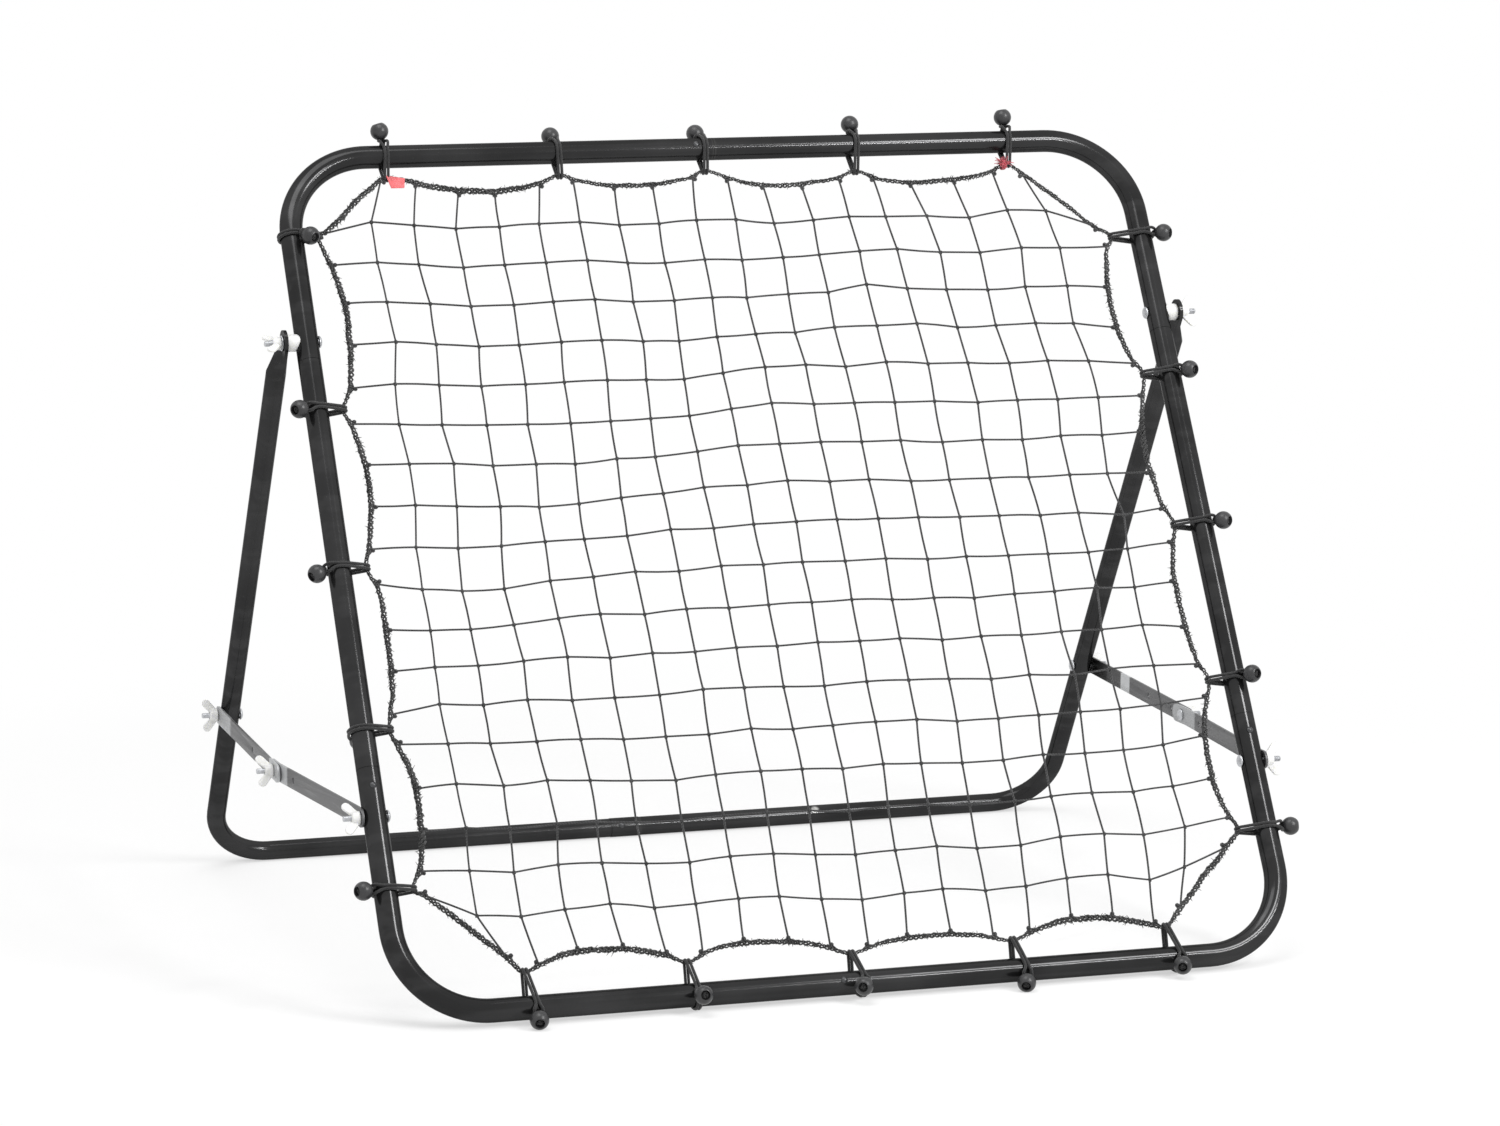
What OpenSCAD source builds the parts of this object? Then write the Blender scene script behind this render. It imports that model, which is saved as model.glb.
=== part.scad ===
// Pitch-back rebounder: a leaning tube frame that holds a net on elastic loops,
// with a folding rear stand, two jointed braces and wing nuts. Millimetres.
// X runs across the frame, Y to the rear and Z up. The origin is on the floor,
// in the middle of the whole object.

/* [Front frame] */
// Outer width of the front frame
frame_w = 960; // [880:5:1040]
// Outer length of the front frame, measured along its slope
frame_l = 960; // [900:5:1040]
// Outer diameter of the front tubes
tube_d = 24; // [20:0.5:25]
// Wall of every tube
tube_wall = 1.2; // [1:0.1:1.5]
// Radius of the front frame's bends, on the centreline
bend_r = 90; // [80:1:105]
// Lean of the front frame behind the vertical
lean = 32.3; // [28:0.1:36]
// Distance from the pivots down to the upper seam in each post
upper_seam = 22.5; // [16:0.5:34]
// Distance from the braces' bolts up to the lower seam in each post
lower_seam = 49.5; // [45:0.5:70]

/* [Tube joints] */
// Length of the reduced end that slides into the next tube
spigot_len = 40; // [36:1:46]
// Length over which a tube's end is reduced, inside the tube
neck_len = 6; // [4:0.5:10]
// Radial clearance between a reduced end and the tube around it
spigot_fit = 0.05; // [0.02:0.01:0.1]
// Width of the groove that shows at each seam
seam_gap = 0.4; // [0.3:0.1:0.8]
// Distance from a seam to its snap button
button_inset = 20; // [16:1:24]
// Diameter of the snap buttons
button_d = 6.8; // [6:0.1:7.5]
// Height of a snap button above the tube
button_rise = 2.2; // [1.5:0.1:3]
// Radial clearance between a snap button and its holes
button_fit = 0.1; // [0.05:0.01:0.2]
// Length of a snap button's spring strip from the button to its fold
clip_len = 21; // [18:0.5:24]
// Thickness of a snap button's spring strip
clip_t = 0.8; // [0.6:0.1:1]
// Width of a snap button's spring strip
clip_w = 6; // [5:0.1:6.5]

/* [Rear stand] */
// Outer diameter of the stand's tubes
leg_d = 21; // [18:0.5:22]
// Angle of the legs behind the vertical
spread = 32.3; // [28:0.1:36]
// Place of the pivots, measured up the posts from the bottom bar's centreline
pivot_s = 725.5; // [722:0.5:730]
// Distance from a post's outer face to the leg's centreline
leg_offset = 16; // [15:0.5:20]
// Radius of the stand's bends, on the centreline
leg_bend_r = 65; // [50:1:80]
// Place of the seam in the rear bar, to the left of the middle
rear_seam = 34; // [26:1:60]
// Distance from the rear seam to its snap button
rear_button_inset = 12; // [10:1:20]
// Extra radius of the widened tube end at the rear seam
flare = 0.4; // [0.2:0.1:0.8]
// Turn of the rear snap button from the legs' front side towards the top
rear_button_turn = 57; // [30:1:80]
// Width of the flattened top of a leg
plate_w = 27; // [24:0.5:28]
// Thickness of the flattened top of a leg
plate_t = 3.6; // [3:0.1:4.5]
// Distance of the flattened top inwards from the leg's centreline
plate_inset = 4.4; // [3:0.1:5.5]
// Length of the flat part below the pivot
plate_len = 10; // [9:1:20]
// Length over which the leg changes from flat to round
taper_len = 28; // [24:1:50]

/* [Braces] */
// Distance from the pivots to the bolts that hold the braces
brace_reach = 518; // [470:0.5:580]
// Drop of a brace's middle bolt below the straight line
knee_drop = 6; // [4:0.5:12]
// Width of a brace bar
bar_w = 19; // [17:0.5:20]
// Thickness of a brace bar
bar_t = 2.5; // [2:0.1:3]
// Distance that a brace bar runs past the middle bolt, to its tip
bar_tail = 24; // [18:1:26]
// Length of the flat seat at each end of the slanting bar
bar_seat = 12; // [10:0.5:16]
// Distance from the middle bolt to the spare hole in a front bar
front_hole = 62; // [45:1:90]
// Distance from the middle bolt to the nearer spare hole in a rear bar
rear_hole_near = 34; // [30:1:60]
// Distance from the middle bolt to the farther spare hole in a rear bar
rear_hole_far = 100; // [80:1:140]

/* [Fasteners] */
// Diameter of every bolt
bolt_d = 6; // [5:0.1:6.5]
// Radial clearance of a part that turns on a bolt
turn_fit = 0.06; // [0.02:0.01:0.1]
// Radial clearance of a bolt in a tube
bolt_fit = 0.1; // [0.05:0.01:0.3]
// Diameter of a bolt's domed head
head_d = 13; // [11:0.5:14]
// Height of a bolt's domed head
head_h = 3.5; // [2.5:0.1:4]
// Length of bolt that shows past a wing nut
bolt_end = 8; // [2:0.5:10]
// Distance left between parts that lie on each other
lay_gap = 0.3; // [0.2:0.05:0.4]
// Diameter of a wing nut's hub
hub_d = 14; // [12:0.5:14.5]
// Height of a wing nut's hub
hub_h = 9; // [8:0.5:11]
// Radius of a wing's round tip
wing_r = 4.5; // [4:0.1:5.5]
// Thickness of a wing
wing_t = 3; // [2.5:0.1:4]
// Reach of a wing's tip centre from the bolt
wing_reach = 13; // [11:0.1:13.5]
// Diameter of the spacers between posts and legs
spacer_d = 18; // [16:0.5:20]
// Depth to which a spacer's saddle wraps its post
saddle_depth = 4; // [2:0.5:6]
// Diameter of the pivot washers
washer_d = 16; // [14:0.5:18]
// Thickness of the pivot washers
washer_t = 1.2; // [0.8:0.1:1.6]

/* [Net] */
// Diameter of the border rope
rope_d = 7; // [6:0.5:8]
// Distance from a tube's centreline to the rope where a loop holds it
rope_reach = 27; // [26:0.5:31]
// Depth of the rope's curve between two loops
scallop = 20; // [14:1:26]
// Thickness of the net's strands
strand_t = 2.2; // [1.6:0.1:3]
// Number of upright strands, and of level strands
strands = 17; // [11:1:17]

/* [Loops and balls] */
// Thickness of the elastic cord
cord_t = 3.2; // [2.6:0.1:3.6]
// Distance between the two strands of one loop
cord_space = 0.6; // [0.4:0.1:1]
// Distance from the end of a bend to the nearest loop
loop_margin = 30; // [16:1:36]
// Diameter of the balls
ball_d = 19; // [17:0.5:20]
// Distance from a tube's centreline to a ball's centre
ball_reach = 28; // [27:0.5:31]
// Diameter of the two cord ends that enter a ball
neck_d = 6.4; // [5:0.1:7]
// Diameter of the knot in a ball's recess
knot_d = 8.6; // [7.5:0.1:9.5]

/* [Corner markers] */
// Length of the flat marker at the upper left
marker_l = 20; // [12:1:24]
// Height of the flat marker at the upper left
marker_h = 14; // [9:1:16]
// Diameter of the knot in the ribbon at the upper right
ribbon_knot_d = 7; // [5:0.5:9]

/* [Hidden] */
$fn = 48;

// Colours
paint = [0.09, 0.09, 0.095];
zinc = [0.62, 0.63, 0.65];
plastic_white = [0.93, 0.93, 0.92];
cord_black = [0.06, 0.06, 0.065];
ball_grey = [0.16, 0.16, 0.17];
marker_red = [0.85, 0.2, 0.2];

// Front frame: the centreline is a rectangle with round corners
tube_r = tube_d / 2;
post_x = (frame_w - tube_d) / 2;
top_s = frame_l - tube_d;
bar_z = tube_r + lay_gap + cord_t;
leg_r = leg_d / 2;
bend_top = top_s - bend_r;

// Places up the posts, measured from the bottom bar's centreline
brace_s = pivot_s - brace_reach;
upper_seam_s = pivot_s - upper_seam;
lower_seam_s = brace_s + lower_seam;

// Layers across the object, from a post outwards
post_face = post_x + tube_r;
leg_x = post_face + leg_offset;
leg_face = leg_x + leg_r;
front_bar_x = post_face + lay_gap;
rear_bar_x = leg_face + lay_gap;
knee_bar_x = rear_bar_x - lay_gap - bar_t;
plate_x = leg_x - plate_inset;
plate_in = plate_x - plate_t / 2;
spacer_end = plate_in - lay_gap;
washer_x = plate_x + plate_t / 2 + lay_gap;
pivot_nut_x = washer_x + washer_t + lay_gap;
post_nut_x = front_bar_x + bar_t + lay_gap;
leg_nut_x = rear_bar_x + bar_t + lay_gap;

// Points in the side view, as [y, z], with y from the bottom bar's centreline
function on_post(s) = [s * sin(lean), bar_z + s * cos(lean)];
pivot = on_post(pivot_s);
leg_len = (pivot[1] - leg_r) / cos(spread);
function on_leg(t) = [pivot[0] + t * sin(spread), pivot[1] - t * cos(spread)];
post_bolt = on_post(brace_s);
leg_bolt = on_leg(brace_reach);
brace_dir = (leg_bolt - post_bolt) / norm(leg_bolt - post_bolt);
knee = (post_bolt + leg_bolt) / 2 + knee_drop * [brace_dir[1], -brace_dir[0]];
bar_len = norm(knee - post_bolt);
front_bar_turn = atan2(knee[1] - post_bolt[1], knee[0] - post_bolt[0]);
rear_bar_turn = atan2(knee[1] - leg_bolt[1], knee[0] - leg_bolt[0]);

// Loops stand at an even pitch on the bars, each a little out of place. On the posts they
// share the lengths between the bends, the braces' bolts and the pivots, one below the
// bolts, three between and one above, so that none comes to a bolt.
loop_pitch = (post_x - bend_r - loop_margin) / 2;
top_shift = [-10, 2, -10, -14, -14];
bottom_shift = [12, 3, 2, 0, -6];
top_at = [for (i = [0:4]) (i - 2) * loop_pitch + top_shift[i]];
bottom_at = [for (i = [0:4]) (i - 2) * loop_pitch + bottom_shift[i]];
function up_post(low, middle, high) = [
    bend_r + low * (brace_s - bend_r),
    for (m = middle) brace_s + m * brace_reach,
    pivot_s + high * (bend_top - pivot_s)
];
left_at = up_post(0.34, [0.175, 0.513, 0.852], 1);
right_at = up_post(0.357, [0.177, 0.52, 0.86], 0.766);

// Turn of each ball about its tube, from the outer side towards the front.
// The first, fourth and fifth balls of the bottom bar stand on or near the floor.
// The second ball of the left post lies behind the tube.
floor_turn = acos((bar_z - ball_d / 2) / ball_reach) - lean;
top_turn = [20, -22, -24, -5, 18];
bottom_turn = [floor_turn, floor_turn + 23, floor_turn + 12, floor_turn, floor_turn + 3];
left_turn = [22, -93, 16, 36, 124];
right_turn = [12, 66, 50, 57, 40];

// Front and rear of the whole object, and the middle between them
y_front = -max([for (t = bottom_turn) ball_reach * sin(t + lean)]) - ball_d / 2;
y_rear = on_leg(leg_len)[0] + leg_r;
y_middle = (y_front + y_rear) / 2;

// Snap buttons: where they sit across the bars and up the posts
bar_button_x = -button_inset;
post_button_s = lower_seam_s - button_inset;
rear_button_x = rear_button_inset - rear_seam;

module placed() {
    translate([0, -y_middle, 0]) children();
}

// Local axes of the leaning frame: X across, Y to its rear side, Z up its slope
module on_frame() {
    placed() translate([0, 0, bar_z]) rotate([-lean, 0, 0]) children();
}

// Local axes of the stand: X across, Z up the legs, with the origin at the pivots
module on_stand() {
    placed() translate([0, pivot[0], pivot[1]]) rotate([spread, 0, 0]) children();
}

// A point of the side view, with X still measured across the object
module at_side(point) {
    placed() translate([0, point[0], point[1]]) children();
}

module left_side() {
    mirror([1, 0, 0]) children();
}

module both_sides() {
    children();
    left_side() children();
}

module along_x(x, d, h) {
    translate([x, 0, 0]) rotate([0, 90, 0]) cylinder(d = d, h = h);
}

// ---- Tubes ----

// Solid elbow: one run to the left, one run down, with the corner at the origin
module elbow_bar(run_x, run_z, d, r) {
    translate([-r, 0, 0]) rotate([0, -90, 0]) cylinder(d = d, h = run_x - r);
    translate([0, 0, -r]) mirror([0, 0, 1]) cylinder(d = d, h = run_z - r);
    translate([-r, 0, -r]) rotate([90, 0, 0])
        rotate_extrude(angle = 90) translate([r, 0]) circle(d = d);
}

module elbow_tube(run_x, run_z, d, r) {
    difference() {
        elbow_bar(run_x, run_z, d, r);
        elbow_bar(run_x + 1, run_z + 1, d - 2 * tube_wall, r);
    }
}

// Reduced end of a tube of diameter d, which starts at the origin and runs up Z
module spigot(d) {
    bore = d - 2 * tube_wall;
    outer = bore - 2 * spigot_fit;
    difference() {
        union() {
            translate([0, 0, -neck_len]) cylinder(d = bore + tube_wall / 3, h = neck_len);
            translate([0, 0, -1]) cylinder(d = outer, h = spigot_len + 1);
        }
        translate([0, 0, -neck_len - 1])
            cylinder(d = outer - 2 * tube_wall, h = spigot_len + neck_len + 2);
    }
}

// Hole for a snap button that comes out of a tube on its front side
module button_hole(r) {
    rotate([90, 0, 0]) cylinder(d = button_d + 2 * button_fit, h = r + 2);
}

// Snap button with its V-shaped spring strip, in a tube that runs along Z.
// The button points to the front and the strip's fold lies up the tube.
module snap_button(d) {
    inside = d / 2 - 2 * tube_wall - spigot_fit;
    travel = button_rise + tube_wall;
    top = inside - 1.6;
    back = travel + 1 - inside;
    rotate([90, 0, 0]) {
        translate([0, 0, top - 2.4]) cylinder(d = button_d, h = d / 2 - top + 2.4);
        translate([0, 0, d / 2]) rotate_extrude() intersection() {
            translate([0, button_rise - button_d * 0.6]) circle(r = button_d * 0.6);
            square([button_d / 2, button_rise + 1]);
        }
    }
    strip_end = -button_d / 2 - 2.6;
    inner_fold = clip_len - 5 * clip_t;
    rotate([90, 0, 90]) linear_extrude(height = clip_w, center = true)
        polygon([[-top, strip_end], [-top + clip_t, strip_end], [0, inner_fold],
                 [-back - clip_t, strip_end + 2], [-back, strip_end + 2],
                 [clip_t, clip_len], [-clip_t, clip_len]]);
}

module bolt_hole_x(d) {
    along_x(-d, bolt_d + 2 * bolt_fit, 2 * d);
}

// Corner of the front frame at the upper right, up to the middle and the upper seam
module upper_corner(with_spigot) {
    run_z = top_s - upper_seam_s;
    button_at = [bar_button_x, 0, top_s];
    difference() {
        union() {
            translate([post_x, 0, top_s]) elbow_tube(post_x, run_z, tube_d, bend_r);
            if (with_spigot)
                translate([0, 0, top_s]) rotate([0, -90, 0]) spigot(tube_d);
        }
        translate([post_x, 0, pivot_s]) bolt_hole_x(tube_d);
        if (with_spigot) translate(button_at) button_hole(tube_r);
    }
}

module top_right_tube() {
    color(paint) on_frame() upper_corner(true);
}

module top_left_tube() {
    color(paint) on_frame() difference() {
        left_side() difference() {
            upper_corner(false);
            translate([-1, -tube_d, top_s - tube_d]) cube([1 + seam_gap, 2 * tube_d, 2 * tube_d]);
        }
        translate([bar_button_x, 0, top_s]) button_hole(tube_r);
    }
}

// Corner of the front frame at the lower right, up to the middle and the lower seam
module lower_corner(with_spigot) {
    difference() {
        union() {
            translate([post_x, 0, 0]) mirror([0, 0, 1])
                elbow_tube(post_x, lower_seam_s - seam_gap, tube_d, bend_r);
            if (with_spigot) rotate([0, -90, 0]) spigot(tube_d);
        }
        translate([post_x, 0, brace_s]) bolt_hole_x(tube_d);
        translate([post_x, 0, post_button_s]) button_hole(tube_r);
        if (with_spigot) translate([bar_button_x, 0, 0]) button_hole(tube_r);
    }
}

module bottom_right_tube() {
    color(paint) on_frame() lower_corner(true);
}

module bottom_left_tube() {
    color(paint) on_frame() difference() {
        left_side() difference() {
            lower_corner(false);
            translate([-1, -tube_d, -tube_d]) cube([1 + seam_gap, 2 * tube_d, 2 * tube_d]);
        }
        translate([bar_button_x, 0, 0]) button_hole(tube_r);
    }
}

// Straight tube in the middle of a post, with a reduced end at the top and the bottom
module side_tube() {
    run = upper_seam_s - lower_seam_s - seam_gap;
    difference() {
        translate([post_x, 0, lower_seam_s]) {
            difference() {
                cylinder(d = tube_d, h = run);
                translate([0, 0, -1]) cylinder(d = tube_d - 2 * tube_wall, h = run + 2);
            }
            translate([0, 0, run]) spigot(tube_d);
            mirror([0, 0, 1]) spigot(tube_d);
        }
        for (s = [brace_s, pivot_s]) translate([post_x, 0, s]) bolt_hole_x(tube_d);
        translate([post_x, 0, post_button_s]) button_hole(tube_r);
    }
}

module right_side_tube() {
    color(paint) on_frame() side_tube();
}

module left_side_tube() {
    color(paint) on_frame() left_side() side_tube();
}

module top_snap_button() {
    color(zinc) on_frame() translate([bar_button_x, 0, top_s]) rotate([0, 90, 0]) snap_button(tube_d);
}

module bottom_snap_button() {
    color(zinc) on_frame() translate([bar_button_x, 0, 0]) rotate([0, 90, 0]) snap_button(tube_d);
}

module right_snap_button() {
    color(zinc) on_frame() translate([post_x, 0, post_button_s]) snap_button(tube_d);
}

module left_snap_button() {
    color(zinc) on_frame() translate([-post_x, 0, post_button_s]) snap_button(tube_d);
}

// Leg with its flattened top and its half of the rear bar, on the right side
module leg_tube(bar_run, with_spigot) {
    difference() {
        union() {
            translate([leg_x, 0, -leg_len]) mirror([0, 0, 1])
                elbow_tube(bar_run, leg_len - plate_len - taper_len, leg_d, leg_bend_r);
            leg_top();
            if (with_spigot)
                translate([leg_x - bar_run, 0, -leg_len]) rotate([0, -90, 0]) spigot(leg_d);
        }
        translate([leg_x, 0, -brace_reach]) bolt_hole_x(leg_d);
        along_x(leg_x - plate_w, bolt_d + 2 * turn_fit, 2 * plate_w);
    }
}

module leg_top() {
    translate([plate_in, 0, 0]) {
        along_x(0, plate_w, plate_t);
        translate([0, -plate_w / 2, -plate_len]) cube([plate_t, plate_w, plate_len]);
    }
    hull() {
        translate([plate_in, -plate_w / 2, -plate_len]) cube([plate_t, plate_w, 0.1]);
        translate([leg_x, 0, -plate_len - taper_len]) cylinder(d = leg_d, h = 0.1, $fn = 32);
    }
}

module rear_button_place() {
    translate([rear_button_x, 0, -leg_len]) rotate([-rear_button_turn, 0, 0]) children();
}

module right_leg_tube() {
    color(paint) on_stand() difference() {
        union() {
            leg_tube(leg_x + rear_seam - seam_gap, false);
            translate([0, 0, -leg_len]) widened_end();
        }
        rear_button_place() button_hole(leg_r);
    }
}

// Ring that widens the tube from the rear seam to the middle of the bar
module widened_end() {
    run = rear_seam - seam_gap;
    difference() {
        along_x(-run, leg_d + 2 * flare, run);
        along_x(-run - 1, leg_d - tube_wall, run + 2);
    }
}

module left_leg_tube() {
    color(paint) on_stand() difference() {
        left_side() leg_tube(leg_x - rear_seam, true);
        rear_button_place() button_hole(leg_r);
    }
}

module rear_snap_button() {
    color(zinc) on_stand() rear_button_place() rotate([0, -90, 0]) snap_button(leg_d);
}

// ---- Bolts, spacers and wing nuts ----

// Domed head that faces inwards, with its flat side at x = 0
module bolt_head() {
    rotate([0, -90, 0]) rotate_extrude() intersection() {
        translate([0, head_h - head_d * 0.8]) circle(r = head_d * 0.8);
        square([head_d / 2, head_h]);
    }
}

module bolt(x_from, x_to) {
    translate([x_from, 0, 0]) bolt_head();
    along_x(x_from, bolt_d, x_to - x_from);
}

module pivot_bolts() {
    color(zinc) at_side(pivot) both_sides()
        bolt(post_x - tube_r - lay_gap, pivot_nut_x + hub_h + bolt_end);
}

module post_bolts() {
    color(zinc) at_side(post_bolt) both_sides()
        bolt(post_x - tube_r - lay_gap, post_nut_x + hub_h + bolt_end);
}

module leg_bolts() {
    color(zinc) at_side(leg_bolt) both_sides()
        bolt(leg_x - leg_r - lay_gap, leg_nut_x + hub_h + bolt_end);
}

module knee_head() {
    translate([knee_bar_x, 0, 0]) bolt_head();
    along_x(knee_bar_x, bolt_d, bar_t);
}

module knee_bolt() {
    along_x(rear_bar_x, bolt_d, bar_t + lay_gap + hub_h + bolt_end);
}

module right_knee_head() {
    color(zinc) at_side(knee) knee_head();
}

module left_knee_head() {
    color(zinc) at_side(knee) left_side() knee_head();
}

module right_knee_bolt() {
    color(zinc) at_side(knee) knee_bolt();
}

module left_knee_bolt() {
    color(zinc) at_side(knee) left_side() knee_bolt();
}

// Spacer with a saddle that follows the post
module pivot_spacers() {
    color(plastic_white) on_frame() translate([0, 0, pivot_s]) both_sides() difference() {
        along_x(post_face - saddle_depth, spacer_d, spacer_end - post_face + saddle_depth);
        translate([post_x, 0, -spacer_d]) cylinder(d = tube_d + 2 * lay_gap, h = 2 * spacer_d);
        along_x(post_x, bolt_d + 2 * bolt_fit, 2 * tube_d);
    }
}

module pivot_washers() {
    color(zinc) at_side(pivot) both_sides() difference() {
        along_x(washer_x, washer_d, washer_t);
        along_x(washer_x - 1, bolt_d + 2 * bolt_fit, washer_t + 2);
    }
}

module wing() {
    slope = wing_r * sin(45);
    tip = [hub_h + 3.1, wing_reach];
    linear_extrude(height = wing_t, center = true) {
        polygon([[1, bolt_d / 2 + 1], [hub_h - 1, bolt_d / 2 + 1],
                 tip + [slope, -slope], tip + [-slope, slope]]);
        translate(tip) circle(r = wing_r);
    }
}

// Wing nut that starts at x = 0 and points outwards, with its wings turned about the bolt
module wing_nut(turn) {
    rotate([turn, 0, 0]) difference() {
        union() {
            along_x(0, hub_d, hub_h);
            wing();
            rotate([180, 0, 0]) wing();
        }
        along_x(-1, bolt_d + 2 * turn_fit, hub_h + 2 + wing_reach);
    }
}

module right_pivot_wing_nut() {
    color(plastic_white) at_side(pivot) translate([pivot_nut_x, 0, 0]) wing_nut(60);
}

module left_pivot_wing_nut() {
    color(plastic_white) at_side(pivot) left_side() translate([pivot_nut_x, 0, 0]) wing_nut(20);
}

module right_post_wing_nut() {
    color(plastic_white) at_side(post_bolt) translate([post_nut_x, 0, 0]) wing_nut(75);
}

module left_post_wing_nut() {
    color(plastic_white) at_side(post_bolt) left_side() translate([post_nut_x, 0, 0]) wing_nut(50);
}

module right_leg_wing_nut() {
    color(plastic_white) at_side(leg_bolt) translate([leg_nut_x, 0, 0]) wing_nut(35);
}

module left_leg_wing_nut() {
    color(plastic_white) at_side(leg_bolt) left_side() translate([leg_nut_x, 0, 0]) wing_nut(80);
}

module right_knee_wing_nut() {
    color(plastic_white) at_side(knee) translate([leg_nut_x, 0, 0]) wing_nut(15);
}

module left_knee_wing_nut() {
    color(plastic_white) at_side(knee) left_side() translate([leg_nut_x, 0, 0]) wing_nut(55);
}

// ---- Brace bars ----

// Round-ended outline of a bar that runs along Y, cut through every layer
module bar_outline(run) {
    translate([post_face - bar_w, 0, 0]) {
        along_x(0, bar_w, 3 * bar_w);
        translate([0, 0, -bar_w / 2]) cube([3 * bar_w, run - bar_w / 2, bar_w]);
        translate([0, run - bar_w / 2, 0]) along_x(0, bar_w, 3 * bar_w);
    }
}

module bar_holes(places) {
    for (y = places)
        translate([0, y, 0]) along_x(post_face - bar_w, bolt_d + 2 * turn_fit, 3 * bar_w);
}

// Front bar: it lies on the post, slants outwards and ends just inside the rear bar
module front_bar() {
    run = bar_len + bar_tail;
    a = front_bar_x;
    b = knee_bar_x;
    rotate([front_bar_turn, 0, 0]) difference() {
        intersection() {
            linear_extrude(height = 2 * bar_w, center = true)
                polygon([[a, -bar_w], [a, bar_seat], [b, bar_len - bar_seat], [b, run + 1],
                         [b + bar_t, run + 1], [b + bar_t, bar_len - bar_seat],
                         [a + bar_t, bar_seat], [a + bar_t, -bar_w]]);
            bar_outline(run);
        }
        bar_holes([0, bar_len - front_hole, bar_len]);
    }
}

// Rear bar: it lies flat outside the leg
module rear_bar() {
    run = bar_len + bar_tail;
    rotate([rear_bar_turn, 0, 0]) difference() {
        intersection() {
            translate([rear_bar_x, -bar_w, -bar_w]) cube([bar_t, run + 2 * bar_w, 2 * bar_w]);
            bar_outline(run);
        }
        bar_holes([0, bar_len - rear_hole_far, bar_len - rear_hole_near, bar_len]);
    }
}

module right_front_brace_bar() {
    color(zinc) at_side(post_bolt) front_bar();
}

module left_front_brace_bar() {
    color(zinc) at_side(post_bolt) left_side() front_bar();
}

module right_rear_brace_bar() {
    color(zinc) at_side(leg_bolt) rear_bar();
}

module left_rear_brace_bar() {
    color(zinc) at_side(leg_bolt) left_side() rear_bar();
}

// ---- Net and border rope ----

// The rope's centreline, clockwise from the upper left, as [x, s]. It runs straight
// through each loop and sags towards the net's middle between two loops.
loop_w = 2 * cord_t + cord_space;
catch_half = loop_w / 2 + 1.6;
function span(p, q, in) = let (
        d = (q - p) / norm(q - p),
        a = p + catch_half * d,
        b = q - catch_half * d
    ) [a, for (k = [1:3]) a + (b - a) * k / 4 + in * scallop * (k == 2 ? 1 : 0.75), b];
function side_path(points, in) = let (d = (points[4] - points[0]) / norm(points[4] - points[0]))
    [points[0] - catch_half * d, for (i = [0:3]) each span(points[i], points[i + 1], in),
     points[4] + catch_half * d];

top_line = top_s - rope_reach;
right_line = post_x - rope_reach;
rope_path = concat(
    side_path([for (x = top_at) [x, top_line]], [0, -1]),
    side_path([for (i = [4:-1:0]) [right_line, right_at[i]]], [-1, 0]),
    side_path([for (i = [4:-1:0]) [bottom_at[i], rope_reach]], [0, 1]),
    side_path([for (s = left_at) [-right_line, s]], [1, 0]));
rope_n = len(rope_path);

// Unit vector that points out of the clockwise path at point i
function edge_dir(i) = let (
        d = rope_path[(i + 1) % rope_n] - rope_path[(i + rope_n) % rope_n]
    ) d / norm(d);
function outward(i) = let (
        d = edge_dir(i) + edge_dir((i + rope_n - 1) % rope_n),
        u = d / norm(d)
    ) [-u[1], u[0]];

rope_sides = 8;

module border_rope() {
    points = [for (i = [0:rope_n - 1]) for (k = [0:rope_sides - 1])
        let (t = 360 * k / rope_sides, c = rope_path[i] + outward(i) * cos(t) * rope_d / 2)
        [c[0], sin(t) * rope_d / 2, c[1]]];
    faces = [for (i = [0:rope_n - 1]) for (k = [0:rope_sides - 1])
        let (j = (i + 1) % rope_n, m = (k + 1) % rope_sides,
             a = i * rope_sides + k, b = i * rope_sides + m,
             c = j * rope_sides + m, d = j * rope_sides + k)
        each [[a, b, c], [a, c, d]]];
    color(cord_black) on_frame() polyhedron(points, faces);
}

// Room that the loops need in the net's plane
module loop_room() {
    w = loop_w + 2 * lay_gap;
    depth = rope_d / 2 + cord_t + 2 * lay_gap;
    for (x = top_at) translate([x - w / 2, top_line - depth]) square([w, depth]);
    for (x = bottom_at) translate([x - w / 2, rope_reach]) square([w, depth]);
    for (s = left_at) translate([-right_line, s - w / 2]) square([depth, w]);
    for (s = right_at) translate([right_line - depth, s - w / 2]) square([depth, w]);
}

// Strands of the net, cut off just inside the rope and clear of the loops
module net() {
    inset = rope_d / 2 + lay_gap;
    edge = [for (i = [0:rope_n - 1]) rope_path[i] - outward(i) * inset];
    pitch_x = 2 * right_line / (strands + 1);
    pitch_s = (top_line - rope_reach) / (strands + 1);
    color(cord_black) on_frame() rotate([90, 0, 0])
        linear_extrude(height = strand_t, center = true) difference() {
            intersection() {
                union() for (i = [1:strands]) {
                    translate([-right_line + i * pitch_x - strand_t / 2, 0])
                        square([strand_t, top_s]);
                    translate([-post_x, rope_reach + i * pitch_s - strand_t / 2])
                        square([2 * post_x, strand_t]);
                }
                polygon(edge);
            }
            loop_room();
        }
}

// ---- Elastic loops and balls ----

// Area inside a belt around the tube and the rope, with clearance g outside both.
// The tube is at the origin and the rope lies below it.
module belt(g) {
    r1 = tube_r + g;
    r2 = rope_d / 2 + g;
    t = asin((r1 - r2) / rope_reach);
    circle(r = r1);
    translate([0, -rope_reach]) circle(r = r2);
    polygon([[r1 * cos(t), -r1 * sin(t)], [r2 * cos(t), -rope_reach - r2 * sin(t)],
             [-r2 * cos(t), -rope_reach - r2 * sin(t)], [-r1 * cos(t), -r1 * sin(t)]]);
}

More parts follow.
